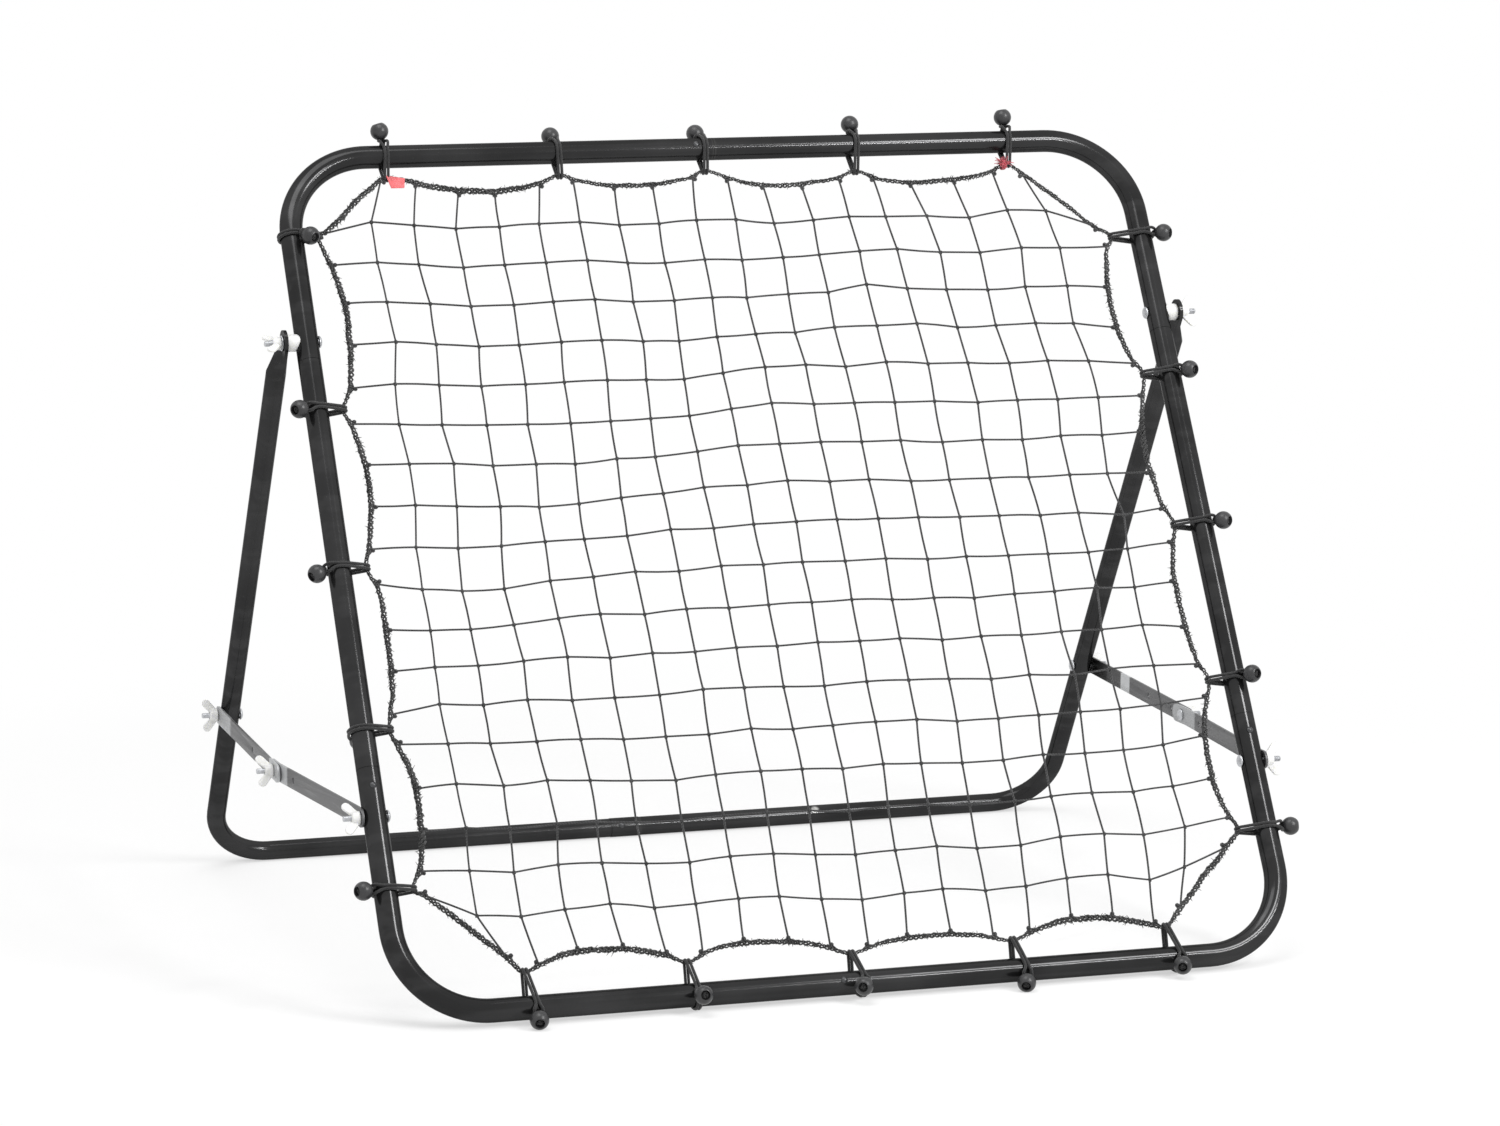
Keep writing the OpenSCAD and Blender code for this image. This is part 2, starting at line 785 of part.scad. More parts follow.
// One loop around a bar that runs along X: its outer side is up and its rope is below.
// Both strands end in a neck that goes into the ball, turned towards the front.
module loop(turn) {
    ball_bore = ball_reach + ball_d / 2 - 3;
    for (side = [-1, 1]) translate([side * (cord_t + cord_space) / 2, 0, 0])
        rotate([90, 0, 90]) linear_extrude(height = cord_t, center = true) difference() {
            belt(lay_gap + cord_t);
            belt(lay_gap);
        }
    rotate([turn, 0, 0]) {
        translate([0, 0, tube_r + lay_gap + 1]) cylinder(d = neck_d, h = ball_bore - tube_r - 3);
        translate([0, 0, ball_reach + 1]) cylinder(d = knot_d, h = ball_bore - ball_reach - 1);
    }
}

// The ball of such a loop, with a bore for the neck and a recess for the knot
module ball(turn) {
    rotate([turn, 0, 0]) translate([0, 0, ball_reach]) difference() {
        sphere(d = ball_d);
        translate([0, 0, -ball_d]) cylinder(d = neck_d + 2 * lay_gap, h = 2 * ball_d);
        translate([0, 0, 1 - lay_gap]) cylinder(d = knot_d + 2 * lay_gap, h = ball_d);
    }
}

module on_top(i) {
    on_frame() translate([top_at[i], 0, top_s]) children();
}

module on_bottom(i) {
    on_frame() translate([bottom_at[i], 0, 0]) rotate([0, 180, 0]) children();
}

module on_left(i) {
    on_frame() translate([-post_x, 0, left_at[i]]) rotate([0, -90, 0]) children();
}

module on_right(i) {
    on_frame() translate([post_x, 0, right_at[i]]) rotate([0, 90, 0]) children();
}

module top_loops() {
    color(cord_black) for (i = [0:4]) on_top(i) loop(top_turn[i]);
}

module bottom_loops() {
    color(cord_black) for (i = [0:4]) on_bottom(i) loop(bottom_turn[i]);
}

module left_loops() {
    color(cord_black) for (i = [0:4]) on_left(i) loop(left_turn[i]);
}

module right_loops() {
    color(cord_black) for (i = [0:4]) on_right(i) loop(right_turn[i]);
}

module top_balls() {
    color(ball_grey) for (i = [0:4]) on_top(i) ball(top_turn[i]);
}

module bottom_balls() {
    color(ball_grey) for (i = [0:4]) on_bottom(i) ball(bottom_turn[i]);
}

module left_balls() {
    color(ball_grey) for (i = [0:4]) on_left(i) ball(left_turn[i]);
}

module right_balls() {
    color(ball_grey) for (i = [0:4]) on_right(i) ball(right_turn[i]);
}

// ---- Corner markers ----

// Flat marker that hangs on the rope's front side, beside the first loop of the top bar
module corner_marker() {
    x = top_at[0] + loop_w / 2 + 2 * lay_gap;
    color(marker_red) on_frame() translate([x, -rope_d / 2 - lay_gap, top_line + 2])
        rotate([90, 0, 0]) linear_extrude(height = 1.2)
            polygon([[0, 1], [marker_l, -3], [marker_l - 2, -marker_h], [4, -marker_h]]);
}

// Ribbon tied round the rope, beside the last loop of the top bar
module corner_ribbon() {
    x = top_at[4] - catch_half - 3;
    ring_r = rope_d / 2 + 3 * lay_gap;
    color(marker_red) on_frame() translate([x, 0, top_line - 1]) {
        rotate([0, 90, 0]) difference() {
            cylinder(r = ring_r + 1.2, h = 4, center = true);
            cylinder(r = ring_r, h = 5, center = true);
        }
        translate([0, -ring_r - ribbon_knot_d / 2, 0]) sphere(d = ribbon_knot_d);
        translate([-1.5, -ring_r - 1.2, -12]) cube([3, 1, 12]);
    }
}

top_left_tube();
top_right_tube();
bottom_left_tube();
bottom_right_tube();
left_side_tube();
right_side_tube();
top_snap_button();
bottom_snap_button();
left_snap_button();
right_snap_button();
left_leg_tube();
right_leg_tube();
rear_snap_button();
pivot_bolts();
pivot_spacers();
pivot_washers();
post_bolts();
leg_bolts();
left_front_brace_bar();
right_front_brace_bar();
left_rear_brace_bar();
right_rear_brace_bar();
left_knee_head();
right_knee_head();
left_knee_bolt();
right_knee_bolt();
left_pivot_wing_nut();
right_pivot_wing_nut();
left_post_wing_nut();
right_post_wing_nut();
left_leg_wing_nut();
right_leg_wing_nut();
left_knee_wing_nut();
right_knee_wing_nut();
net();
border_rope();
top_loops();
bottom_loops();
left_loops();
right_loops();
top_balls();
bottom_balls();
left_balls();
right_balls();
corner_marker();
corner_ribbon();
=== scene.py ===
import random
from math import acos, asin, atan2, cos, hypot, pi, radians, sin

import bpy
import numpy as np
from mathutils import Matrix, Vector, noise


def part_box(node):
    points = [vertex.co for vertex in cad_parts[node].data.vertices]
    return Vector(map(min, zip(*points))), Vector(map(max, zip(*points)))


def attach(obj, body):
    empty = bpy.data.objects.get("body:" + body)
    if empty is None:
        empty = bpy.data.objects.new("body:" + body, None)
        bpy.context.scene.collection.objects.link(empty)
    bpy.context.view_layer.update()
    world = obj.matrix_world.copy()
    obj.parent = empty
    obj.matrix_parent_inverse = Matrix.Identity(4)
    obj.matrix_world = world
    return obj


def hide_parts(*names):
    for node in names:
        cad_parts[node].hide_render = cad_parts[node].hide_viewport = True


bl_info = {
    "name": "Ball Rebounder",
    "version": (1, 0, 0),
    "blender": (4, 5, 0),
    "location": "View3D > Sidebar > Rebounder",
    "description": "Dresses a rebounder's frame with its net, rope, loops, balls, nuts, bolts and finishes",
    "category": "Object",
}

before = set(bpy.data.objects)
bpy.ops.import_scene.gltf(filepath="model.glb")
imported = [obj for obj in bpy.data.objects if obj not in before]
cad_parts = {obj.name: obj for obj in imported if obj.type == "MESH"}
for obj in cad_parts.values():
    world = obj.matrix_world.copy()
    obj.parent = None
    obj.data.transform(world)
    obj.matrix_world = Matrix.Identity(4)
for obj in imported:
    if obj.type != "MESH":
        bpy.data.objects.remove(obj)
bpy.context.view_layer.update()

# Places on the frame, in metres. X runs across, s up the slope from the bottom bar's centreline.
LEAN = radians(32.3)
POST_X = 0.468
TOP_S = 0.936
TUBE_R = 0.012
ROPE_REACH = 0.027
CATCH_HALF = 0.0051
BALL_REACH = {"top": 0.027, "right": 0.026, "bottom": 0.028, "left": 0.026}
TOP_AT = (-0.358, -0.172, -0.010, 0.160, 0.334)
BOTTOM_AT = (-0.336, -0.171, 0.002, 0.174, 0.342)
LEFT_AT = (0.12995, 0.29815, 0.47323, 0.64884, 0.8460)
RIGHT_AT = (0.13195, 0.29919, 0.47686, 0.65298, 0.8178)
TOP_TURN = (20, -22, -24, -5, 18)
BOTTOM_TURN = (45.33, 71, 64, 44, 56)
LEFT_TURN = (22, -93, 16, 36, 124)
RIGHT_TURN = (12, 66, 50, 57, 40)

# Where each loop really holds the rope, in millimetres: its shift along the bar and its reach from it
CATCHES = {
    "top": ((-1.5, 24), (0, 26), (-1.5, 25), (-3.5, 30), (-3, 26)),
    "right": ((0, 30), (0, 28), (0, 30), (0, 29), (0, 33)),
    "bottom": ((-5, 36), (-4, 33), (-6, 29.5), (-5.5, 31), (-6.5, 33)),
    "left": ((0, 27), (0, 27), (0, 27), (0, 27), (0, 27)),
}

# How far each ball hangs away from its loop along the bar, in millimetres
DROOPS = {
    "top": (-3.3, 0, -1.3, 1.0, -1.0),
    "right": (-1.1, -4.5, -5.7, -6.0, -5.1),
    "bottom": (-2.7, -0.5, -7.1, -6.3, -5.9),
    "left": (-1.6, 0, -6.7, -4.6, -9.6),
}

# Depth of the rope between two loops, in millimetres, at nine even places, clockwise from the upper left.
# The fifth row of each side is the slanting run across the corner.
SAGS = {
    "top": ((2, 8, 12, 16, 16, 18, 16, 13, 8), (7, 11, 13, 14, 14, 13, 13, 10, 7),
            (7, 13, 16, 18, 18, 18, 16, 14, 10), (14, 17, 19, 19, 18, 17, 15, 12, 7),
            (1, 1, 3, 3, 4, 4, 5, 5, 4)),
    "right": ((18, 20, 22, 23, 24, 23, 22, 19, 14), (8, 12, 16, 18, 20, 20, 17, 15, 12),
              (10, 14, 16, 16, 17, 16, 15, 13, 10), (8, 14, 18, 20, 21, 20, 20, 17, 12),
              (3, 4, 4, 5, 5, 5, 6, 7, 7)),
    "bottom": ((10, 15, 19, 21, 22, 22, 22, 18, 14), (7, 12, 14, 16, 16, 16, 15, 13, 10),
               (9, 15, 19, 21, 22, 23, 23, 21, 17), (15, 20, 23, 26, 26, 27, 26, 24, 19),
               (3, 4, 4, 4, 4, 4, 4, 3, 3)),
    "left": ((12, 15, 18, 18, 19, 19, 17, 14, 8), (5, 9, 10, 12, 12, 12, 12, 12, 10),
             (7, 11, 13, 16, 16, 16, 15, 12, 8), (12, 15, 18, 18, 19, 18, 16, 12, 6),
             (3, 2, 2, 0, -2, -3, -4, -4, -5)),
}

# The rope's thickness between two loops, as a share, in the same order
FULLNESS = {
    "top": (1.06, 0.80, 0.78, 0.86, 0.77),
    "right": (0.94, 0.93, 0.92, 0.96, 1.04),
    "bottom": (1.05, 0.84, 0.90, 1.06, 0.98),
    "left": (1.10, 0.98, 1.00, 1.06, 1.05),
}

# The net's strands, in millimetres, then how far each knot stands awry, in one row for each level,
# from the lowest
UPRIGHTS = (-382, -338, -292, -247, -203, -158, -114, -70, -26, 18, 62, 106, 151, 195, 240, 286, 331, 376)
LEVELS = (93, 138, 184, 229, 274, 319, 363, 408, 451, 496, 540, 584, 629, 673, 717, 762, 807, 851)
AWRY_X = (
    (2, 2, 2, 4, 4, 2, 3, 2, 1, 0, 1, -1, -1, -1, 0, -1, -2, -6),
    (1, 2, 2, 2, 3, 3, 2, 4, 3, 1, 0, 1, -1, 2, 1, 3, 1, 3),
    (4, 4, 8, 3, 0, 2, 2, 4, 5, 3, 1, 0, 0, 5, 0, -1, -1, -1),
    (1, 5, 4, 3, 2, 3, 2, 5, 5, 4, 4, 1, 0, 1, 0, 0, -2, -2),
    (-1, -2, 0, 0, 1, 0, 2, 3, 3, 2, 4, 5, 3, 4, 4, 4, 4, 5),
    (-4, -3, -3, -2, -1, 1, 3, 3, 1, 1, 3, 4, 3, 5, 2, 6, 1, 5),
    (-3, -2, -1, 0, 1, 1, 2, 2, 2, 2, 3, 3, 3, 3, 2, 1, 1, 2),
    (-2, -4, -5, -2, -2, -1, 0, 2, 1, 3, 3, 3, 3, 3, 3, 2, 5, 2),
    (-4, -7, -9, -5, -3, -3, -1, 1, 2, 1, 3, 4, 4, 3, 5, 3, 3, 3),
    (-4, -4, -5, -4, -6, -5, -2, 0, 0, 2, 3, 4, 3, 4, 3, 3, 1, 7),
    (2, 1, 0, -4, -6, -5, -3, -3, 0, 1, 2, 2, 2, 1, 1, -1, 0, -2),
    (2, 4, -1, 0, -3, -3, -5, -3, -2, -1, 1, 1, 0, 1, 1, 0, -1, 0),
    (-2, -2, -1, -2, -1, -3, -3, -5, -3, -2, 0, 1, 1, 1, 4, 3, 4, 5),
    (0, 2, 0, 2, 0, 1, -1, -4, -5, -2, -1, -1, 0, 2, 2, 2, 1, 2),
    (7, 5, 4, 2, 4, 2, 2, -2, -4, -5, -6, -5, -3, -2, -2, -4, -4, -6),
    (4, 5, 2, 3, 2, 2, -1, 0, -2, -8, -6, -5, -6, -5, -6, -6, -7, -4),
    (0, 0, 1, 0, 1, 1, 0, -3, -3, -6, -4, -7, -6, -8, -5, -6, -3, -4),
    (0, 1, -1, 1, 0, 0, -2, -2, -4, -5, -7, -7, -11, -14, -12, -11, -10, -11),
)
AWRY_S = (
    (5, 1, 5, 8, 0, 1, 3, 3, -3, -7, -3, -2, -7, -5, 0, 1, -8, 3),
    (7, 2, 7, 6, 2, 0, 3, 3, -1, -4, -2, -1, -6, -6, 0, 0, -4, 1),
    (6, 2, 4, 3, 0, -1, 1, 1, 0, -3, -1, -2, -5, -4, -2, -1, -3, 1),
    (8, 2, 5, 2, -1, -3, 0, 1, 0, -2, 0, -2, -4, -4, -1, -2, -1, 2),
    (6, 3, 2, 2, -1, -1, -1, 2, -1, 0, 1, 1, -4, -3, -2, -1, -1, 2),
    (3, -1, 3, -1, -1, -1, 3, 2, 0, -1, 1, 0, -2, -4, -2, -5, -1, 0),
    (-1, -2, 0, 2, -1, 1, 0, 2, 1, 3, 2, 2, -2, 0, -2, 0, 0, 2),
    (-6, -7, -5, 0, 2, -1, 2, 1, 2, 2, 3, 1, 0, -2, 0, 0, 2, 0),
    (-4, -8, -8, -2, 0, 3, 1, 5, 4, 5, 3, 4, 1, 2, 0, 0, -1, 1),
    (-3, -6, -6, -4, -3, -2, 3, 2, 5, 5, 6, 4, 4, 1, 1, -1, 0, -5),
    (-1, -4, -7, -9, -8, -3, 0, 4, 4, 8, 4, 5, 1, 1, 0, -1, 0, 0),
    (1, -1, -5, -5, -7, -3, -3, 1, 6, 6, 6, 4, 4, 0, 1, -1, 1, 0),
    (1, -2, -4, -5, -6, -6, -4, -3, 3, 8, 4, 4, 3, 2, -1, 0, -1, -1),
    (2, -1, -4, -4, -3, -3, -4, -5, 0, 5, 6, 2, 6, 2, 1, -1, 0, -2),
    (5, 1, -3, -3, -1, -1, -4, -5, -2, 0, 0, 4, 4, 5, -1, 0, 1, -1),
    (6, 2, -2, -2, 0, 1, -3, -3, -1, -3, 0, 0, 8, 2, -1, -3, 0, -1),
    (7, 3, -2, -1, 1, 2, -3, -4, -1, -3, -2, 0, 3, 4, -2, -3, 1, -1),
    (10, 4, -1, 0, 2, 3, -2, -2, 1, 0, -5, -3, 0, -1, -2, -6, 2, 0),
)

# Where the strands are tied to the rope, in millimetres: x for uprights, s for levels
TOP_TIES = (-365, -328, -284, -245, -195, -158, -114, -72, -26, 12, 50, 93, 136, 175, 216, 265, 312, 346)
BOTTOM_TIES = (-355, -325, -283, -237, -194, -157, -113, -66, -24, 16, 58, 105, 149, 189, 236, 281, 324, 356)
LEFT_TIES = (123, 148, 190, 234, 282, 314, 360, 405, 455, 493, 540, 586, 632, 672, 721, 768, 812, 847)
RIGHT_TIES = (114, 147, 191, 238, 280, 318, 360, 412, 457, 497, 539, 586, 628, 666, 709, 757, 806, 830)

# Places in the side view, in metres, with y from the whole object's middle
Y_MIDDLE = 0.375753
BAR_Z = 0.0155
PIVOT = Vector((0, 0.011919, 0.628737))
POST_BOLT = Vector((0, -0.264875, 0.190892))
LEG_BOLT = Vector((0, 0.288714, 0.190892))
KNEE = Vector((0, 0.011919, 0.184892))
PIVOT_NUT_X = 0.4952
POST_NUT_X = 0.4831
LEG_NUT_X = 0.5096
POST_HEAD_X = 0.4557
LEG_HEAD_X = 0.4852
HEAD_H = 0.0035
HEAD_POINTS = 12
NUT_H = 0.009
PAST_NUT = NUT_H + 0.008
BOTH = ("left", "right")
NUTS = {"pivot": (PIVOT, PIVOT_NUT_X, (20, 60)), "post": (POST_BOLT, POST_NUT_X, (50, 75)),
        "leg": (LEG_BOLT, LEG_NUT_X, (80, 35)), "knee": (KNEE, LEG_NUT_X, (55, 15))}

ON_FRAME = Matrix.Translation((0, -Y_MIDDLE, BAR_Z)) @ Matrix.Rotation(-LEAN, 4, "X")

# Points of a mesh that lie closer than this are one point
MERGE = 1e-6
TURN = 2 * pi


# ---- Finishes ----

def maths(kind, swapped=False):
    """A method that adds a Math node for a value and its other terms."""
    def method(self, *others):
        terms = (*others, self) if swapped else (self, *others)
        return self.finish.node("ShaderNodeMath", dict(enumerate(terms)), operation=kind)
    return method


class Value:
    """A node's output, with arithmetic that adds Math nodes."""

    __add__ = __radd__ = maths("ADD")
    __sub__, __rsub__ = maths("SUBTRACT"), maths("SUBTRACT", swapped=True)
    __mul__, __truediv__ = maths("MULTIPLY"), maths("DIVIDE")
    __abs__, sine, least = maths("ABSOLUTE"), maths("SINE"), maths("MINIMUM")

    def __init__(self, finish, socket):
        self.finish = finish
        self.socket = socket

    def rise(self, low, high):
        """0 below low, 1 above high, with a soft step between them."""
        return self.finish.node("ShaderNodeMapRange", {"Value": self, "From Min": low, "From Max": high},
                                interpolation_type="SMOOTHSTEP")

    def fall(self, low, high):
        return 1 - self.rise(low, high)


class Finish:
    """A material, or the world, that is built node by node."""

    def __init__(self, name, world=False):
        self.made = (bpy.data.worlds if world else bpy.data.materials).new(name)
        self.made.use_nodes = True
        self.tree = self.made.node_tree
        self.tree.nodes.clear()
        self.end = "ShaderNodeOutputWorld" if world else "ShaderNodeOutputMaterial"
        self.place = None if world else self.node("ShaderNodeTexCoord", output="Object")

    def node(self, kind, inputs=None, output=0, **settings):
        """Adds a node, with its settings first and then its sockets' values or links."""
        made = self.tree.nodes.new(kind)
        for key, value in settings.items():
            setattr(made, key, value)
        for key, value in (inputs or {}).items():
            if isinstance(value, Value):
                self.tree.links.new(value.socket, made.inputs[key])
            else:
                made.inputs[key].default_value = value
        return Value(self, made.outputs[output])

    def grain(self, scale, detail=3.0, roughness=0.55, stretch=None):
        """Noise from 0 to 1, where stretch scales the pattern along each axis."""
        at = self.place
        if stretch:
            at = self.node("ShaderNodeMapping", {"Vector": at, "Scale": stretch})
        return self.node("ShaderNodeTexNoise",
                         {"Vector": at, "Scale": scale, "Detail": detail, "Roughness": roughness})

    def vector(self, kind, first, second, output=0):
        return self.node("ShaderNodeVectorMath", {0: first, 1: tuple(second)}, output, operation=kind)

    def along(self, origin, direction):
        """Distance from origin along a direction."""
        return self.vector("DOT_PRODUCT", self.vector("SUBTRACT", self.place, origin), direction, "Value")

    def far(self, origin):
        return self.vector("DISTANCE", self.place, origin, "Value")

    def mix(self, share, first, second):
        """Blends two colours."""
        first, second = (c if isinstance(c, Value) else (*c, 1) for c in (first, second))
        return self.node("ShaderNodeMix", {0: share, 6: first, 7: second}, output=2, data_type="RGBA")

    def mottled(self, cloud, colour, dark, light, low=0.3, high=0.7):
        """A colour that goes with a cloud from a darker to a lighter tone."""
        return self.mix(cloud.rise(low, high), tone(colour, dark), tone(colour, light))

    def bump(self, height, distance, strength=1.0, under=None):
        inputs = {"Strength": strength, "Distance": distance, "Height": height}
        if under:
            inputs["Normal"] = under
        return self.node("ShaderNodeBump", inputs)

    def cord_map(self):
        """The two directions of a cord's UV map: round it and along it in metres."""
        uv = self.node("ShaderNodeUVMap", uv_map="cord")
        return [self.node("ShaderNodeSeparateXYZ", {0: uv}, axis) for axis in "XY"]

    def seen_straight(self):
        """1 where the camera looks, itself, in a gloss or through glass, and 0 for light on the object."""
        camera, gloss, glass = (self.node("ShaderNodeLightPath", output=kind)
                                for kind in ("Is Camera Ray", "Is Glossy Ray", "Is Transmission Ray"))
        return (camera + gloss + glass).least(1.0)

    def done(self, **sockets):
        """Ends the material with a Principled shader whose sockets are given by name."""
        names = {key.replace("_", " "): value for key, value in sockets.items()}
        return self.ends_in(self.node("ShaderNodeBsdfPrincipled", names))

    def ends_in(self, shader):
        out = self.tree.nodes.new(self.end)
        self.tree.links.new(shader.socket, out.inputs["Surface"])
        return self.made


def tone(colour, share):
    """A colour made lighter or darker."""
    return tuple(min(1.0, c * share) for c in colour)


def black_paint(colour):
    f = Finish("black_powder_coat")
    worn_spot = (0.211, 0.3955, 0.0178)
    dust, bare_steel = (0.16, 0.16, 0.155), (0.7, 0.7, 0.68)
    cloud = f.grain(9, 4)
    # Lighter lengthwise streaks that the base is mixed towards below: painted reflection bands along the
    # tubes.
    painted_reflection_bands = f.grain(60, 2, stretch=(0.05, 1, 1)).rise(0.45, 0.65)
    specks = f.grain(420, 2, 0.7).rise(0.70, 0.80) * f.grain(22, 2).rise(0.48, 0.66)
    scuffs = f.grain(70, 5, 0.75, stretch=(1, 0.35, 0.35)).rise(0.66, 0.74) * cloud.rise(0.5, 0.7)
    seam = abs(f.along((0, 0, 0), (1, 0, 0))).fall(0.0006, 0.003)
    worn = f.far(worn_spot).fall(0.002, 0.006) * f.grain(300, 3).rise(0.35, 0.55)
    base = f.mix(painted_reflection_bands * 0.35, f.mottled(cloud, colour, 0.8, 1.25), tone(colour, 1.9))
    base = f.mix(specks * 0.35 + scuffs * 0.22 + seam * 0.15, base, dust)
    base = f.mix(worn * 0.8, base, bare_steel)
    rough = 0.11 + cloud * 0.08 + specks * 0.2 + scuffs * 0.25
    peel = f.bump(f.grain(650, 2, 0.5), 0.00004, 0.10)
    peel = f.bump(f.grain(90, 3, stretch=(0.3, 1, 1)), 0.0002, 0.07, peel)
    return f.done(Base_Color=base, Roughness=rough, Metallic=0.7, Normal=peel,
                  Specular_Tint=(0.3, 0.3, 0.3, 1))


def brace_plate(name, start, end, bright, light, dull):
    """Zinc plate with painted reflections, lighter and darker spans along the bar. Bright spans are (from,
    to, soft, colour), in metres.
    """
    f = Finish(name)
    run = f.along(start, (end - start).normalized())
    drawn = f.grain(240, 4, 0.6, stretch=(0.6, 0.05, 1.4))
    cloud = f.grain(34, 4, 0.6)
    base = f.mottled(cloud, dull, 0.82, 1.12, high=0.72)
    # Each bright span paints a reflection along the bar, in its own colour.
    for low, high, soft, colour in bright:
        at = run + (cloud - 0.5) * soft * 1.5
        base = f.mix(at.rise(low - soft, low + soft) * at.fall(high - soft, high + soft), base, colour)
    stain = f.grain(120, 5, 0.7).rise(0.62, 0.75)
    base = f.mix(stain * 0.35, base, tone(dull, 0.45))
    base = f.mix(drawn.rise(0.55, 0.8) * 0.25, base, light)
    feel = f.bump(f.grain(700, 2), 0.00004, 0.4, f.bump(drawn, 0.00008, 0.6))
    return f.done(Base_Color=base, Roughness=0.34 + cloud * 0.18 + stain * 0.15, Metallic=0.55, Normal=feel)


def zinc(colour, name="bright_zinc"):
    f = Finish(name)
    cloud = f.grain(160, 4, 0.6)
    spots = f.grain(600, 3, 0.7).rise(0.62, 0.74)
    base = f.mix(spots * 0.4, f.mottled(cloud, colour, 0.75, 1.1), (0.16, 0.15, 0.13))
    feel = f.bump(f.grain(900, 3), 0.00005, 0.5)
    return f.done(Base_Color=base, Roughness=0.26 + cloud * 0.2 + spots * 0.2, Metallic=0.9, Normal=feel)


def nylon(colour):
    f = Finish("white_nylon")
    cloud = f.grain(120, 3)
    flow = f.grain(300, 4, 0.65, stretch=(0.25, 1, 1))
    grime = f.grain(260, 4, 0.7).rise(0.64, 0.76)
    base = f.mix(grime * 0.25, f.mottled(cloud, colour, 0.93, 1), tone(colour, 0.62))
    return f.done(Base_Color=base, Roughness=0.34 + cloud * 0.12 + grime * 0.15,
                  Normal=f.bump(flow, 0.0001, 0.35), Subsurface_Weight=0.35,
                  Subsurface_Radius=(0.004, 0.004, 0.0035), Subsurface_Scale=1.0)


def twisted(name, colour, lay, plies, dust, rough, bulge):
    """A laid cord: plies that run round it once per lay."""
    f = Finish(name)
    around, length = f.cord_map()
    wave = ((around - length / lay) * (plies * 2 * pi)).sine() * 0.5 + 0.5
    hair = f.grain(900, 3, 0.7, stretch=(1, 1, 0.4))
    # Painted shade of the lay: darker in the grooves between the plies and lighter on their crowns.
    base = f.mix(wave, tone(colour, 0.45), tone(colour, 1.25))
    base = f.mix(f.grain(45, 4, 0.6).rise(0.42, 0.75) * dust, base, tone(colour, 3.4))
    base = f.mix(hair.rise(0.56, 0.72) * dust, base, tone(colour, 4.2))
    feel = f.bump(hair, 0.0002, 0.6, f.bump(wave, bulge, 0.9))
    return f.done(Base_Color=base, Roughness=rough + hair * 0.12, Normal=feel, Sheen_Weight=0.25,
                  Sheen_Roughness=0.5, Specular_IOR_Level=0.3)


def braided(name, colour):
    """An elastic cord's woven jacket: two sets of crossing threads."""
    f = Finish(name)
    around, length = f.cord_map()
    threads, pitch = 8, 0.0011
    one = ((around * threads + length / pitch) * TURN).sine()
    two = ((around * threads - length / pitch) * TURN).sine()
    weave = (one * two) * 0.5 + 0.5
    cloud = f.grain(70, 3)
    # Painted shade of the weave: darker between the threads and lighter on their crowns.
    base = f.mix(weave, tone(colour, 0.5), tone(colour, 1.5))
    base = f.mix(cloud.rise(0.5, 0.72) * 0.4, base, tone(colour, 2.6))
    feel = f.bump(f.grain(1100, 2), 0.0001, 0.4, f.bump(weave, 0.00025, 0.8))
    return f.done(Base_Color=base, Roughness=0.55 + cloud * 0.15, Normal=feel, Sheen_Weight=0.2,
                  Specular_IOR_Level=0.4)


def ball_plastic(colour):
    f = Finish("grey_ball_plastic")
    cloud = f.grain(80, 4, 0.6)
    marks = f.grain(260, 5, 0.75, stretch=(1, 0.4, 1)).rise(0.62, 0.74)
    base = f.mix(marks * 0.3, f.mottled(cloud, colour, 0.8, 1.2), tone(colour, 2.4))
    feel = f.bump(f.grain(700, 3), 0.0001, 0.5)
    return f.done(Base_Color=base, Roughness=0.28 + cloud * 0.12 + marks * 0.15, Normal=feel)


def marker_plastic(colour):
    f = Finish("red_marker_plastic")
    cloud = f.grain(140, 4, 0.6)
    faded = f.grain(60, 2).rise(0.5, 0.62)
    base = f.mix(faded * 0.6, f.mottled(cloud, colour, 0.8, 1.15), tone(colour, 0.62))
    feel = f.bump(f.grain(400, 3), 0.0002, 0.5)
    return f.done(Base_Color=base, Roughness=0.42 + cloud * 0.15, Normal=feel, Subsurface_Weight=0.3,
                  Subsurface_Radius=(0.004, 0.001, 0.001), Subsurface_Scale=1.0)


def ribbon_yarn(colour):
    f = Finish("red_ribbon_yarn")
    around, length = f.cord_map()
    count, pitch = 5, 0.0016
    threads = ((around * count - length / pitch) * TURN).sine() * 0.5 + 0.5
    cloud = f.grain(150, 4, 0.65)
    # Painted highlight: the threads' raised crowns lighten towards pink.
    painted_thread_highlight = (0.86, 0.42, 0.44)
    base = f.mix(threads * 0.45, f.mottled(cloud, colour, 0.45, 1.25, 0.35, 0.65), painted_thread_highlight)
    feel = f.bump(threads, 0.0002, 0.8)
    return f.done(Base_Color=base, Roughness=0.7 + cloud * 0.15, Normal=feel, Sheen_Weight=0.4,
                  Sheen_Roughness=0.4, Specular_IOR_Level=0.2)


def pale_floor():
    """A pale floor that keeps the shadow near the object and turns plain white far from it."""
    f = Finish("pale_floor")
    near = f.mix(f.grain(1.3, 2).rise(0.3, 0.7), (0.93, 0.93, 0.93), (0.95, 0.95, 0.95))
    pale = f.node("ShaderNodeBsdfDiffuse", {"Color": near, "Roughness": 0.3})
    white = f.node("ShaderNodeEmission", {"Color": (1, 1, 1, 1), "Strength": 1.0})
    share = f.far((0, 0.1, 0)).rise(0.55, 1.5) * 0.45 + 0.55
    return f.ends_in(f.node("ShaderNodeMixShader", {0: share * f.seen_straight(), 1: pale, 2: white}))


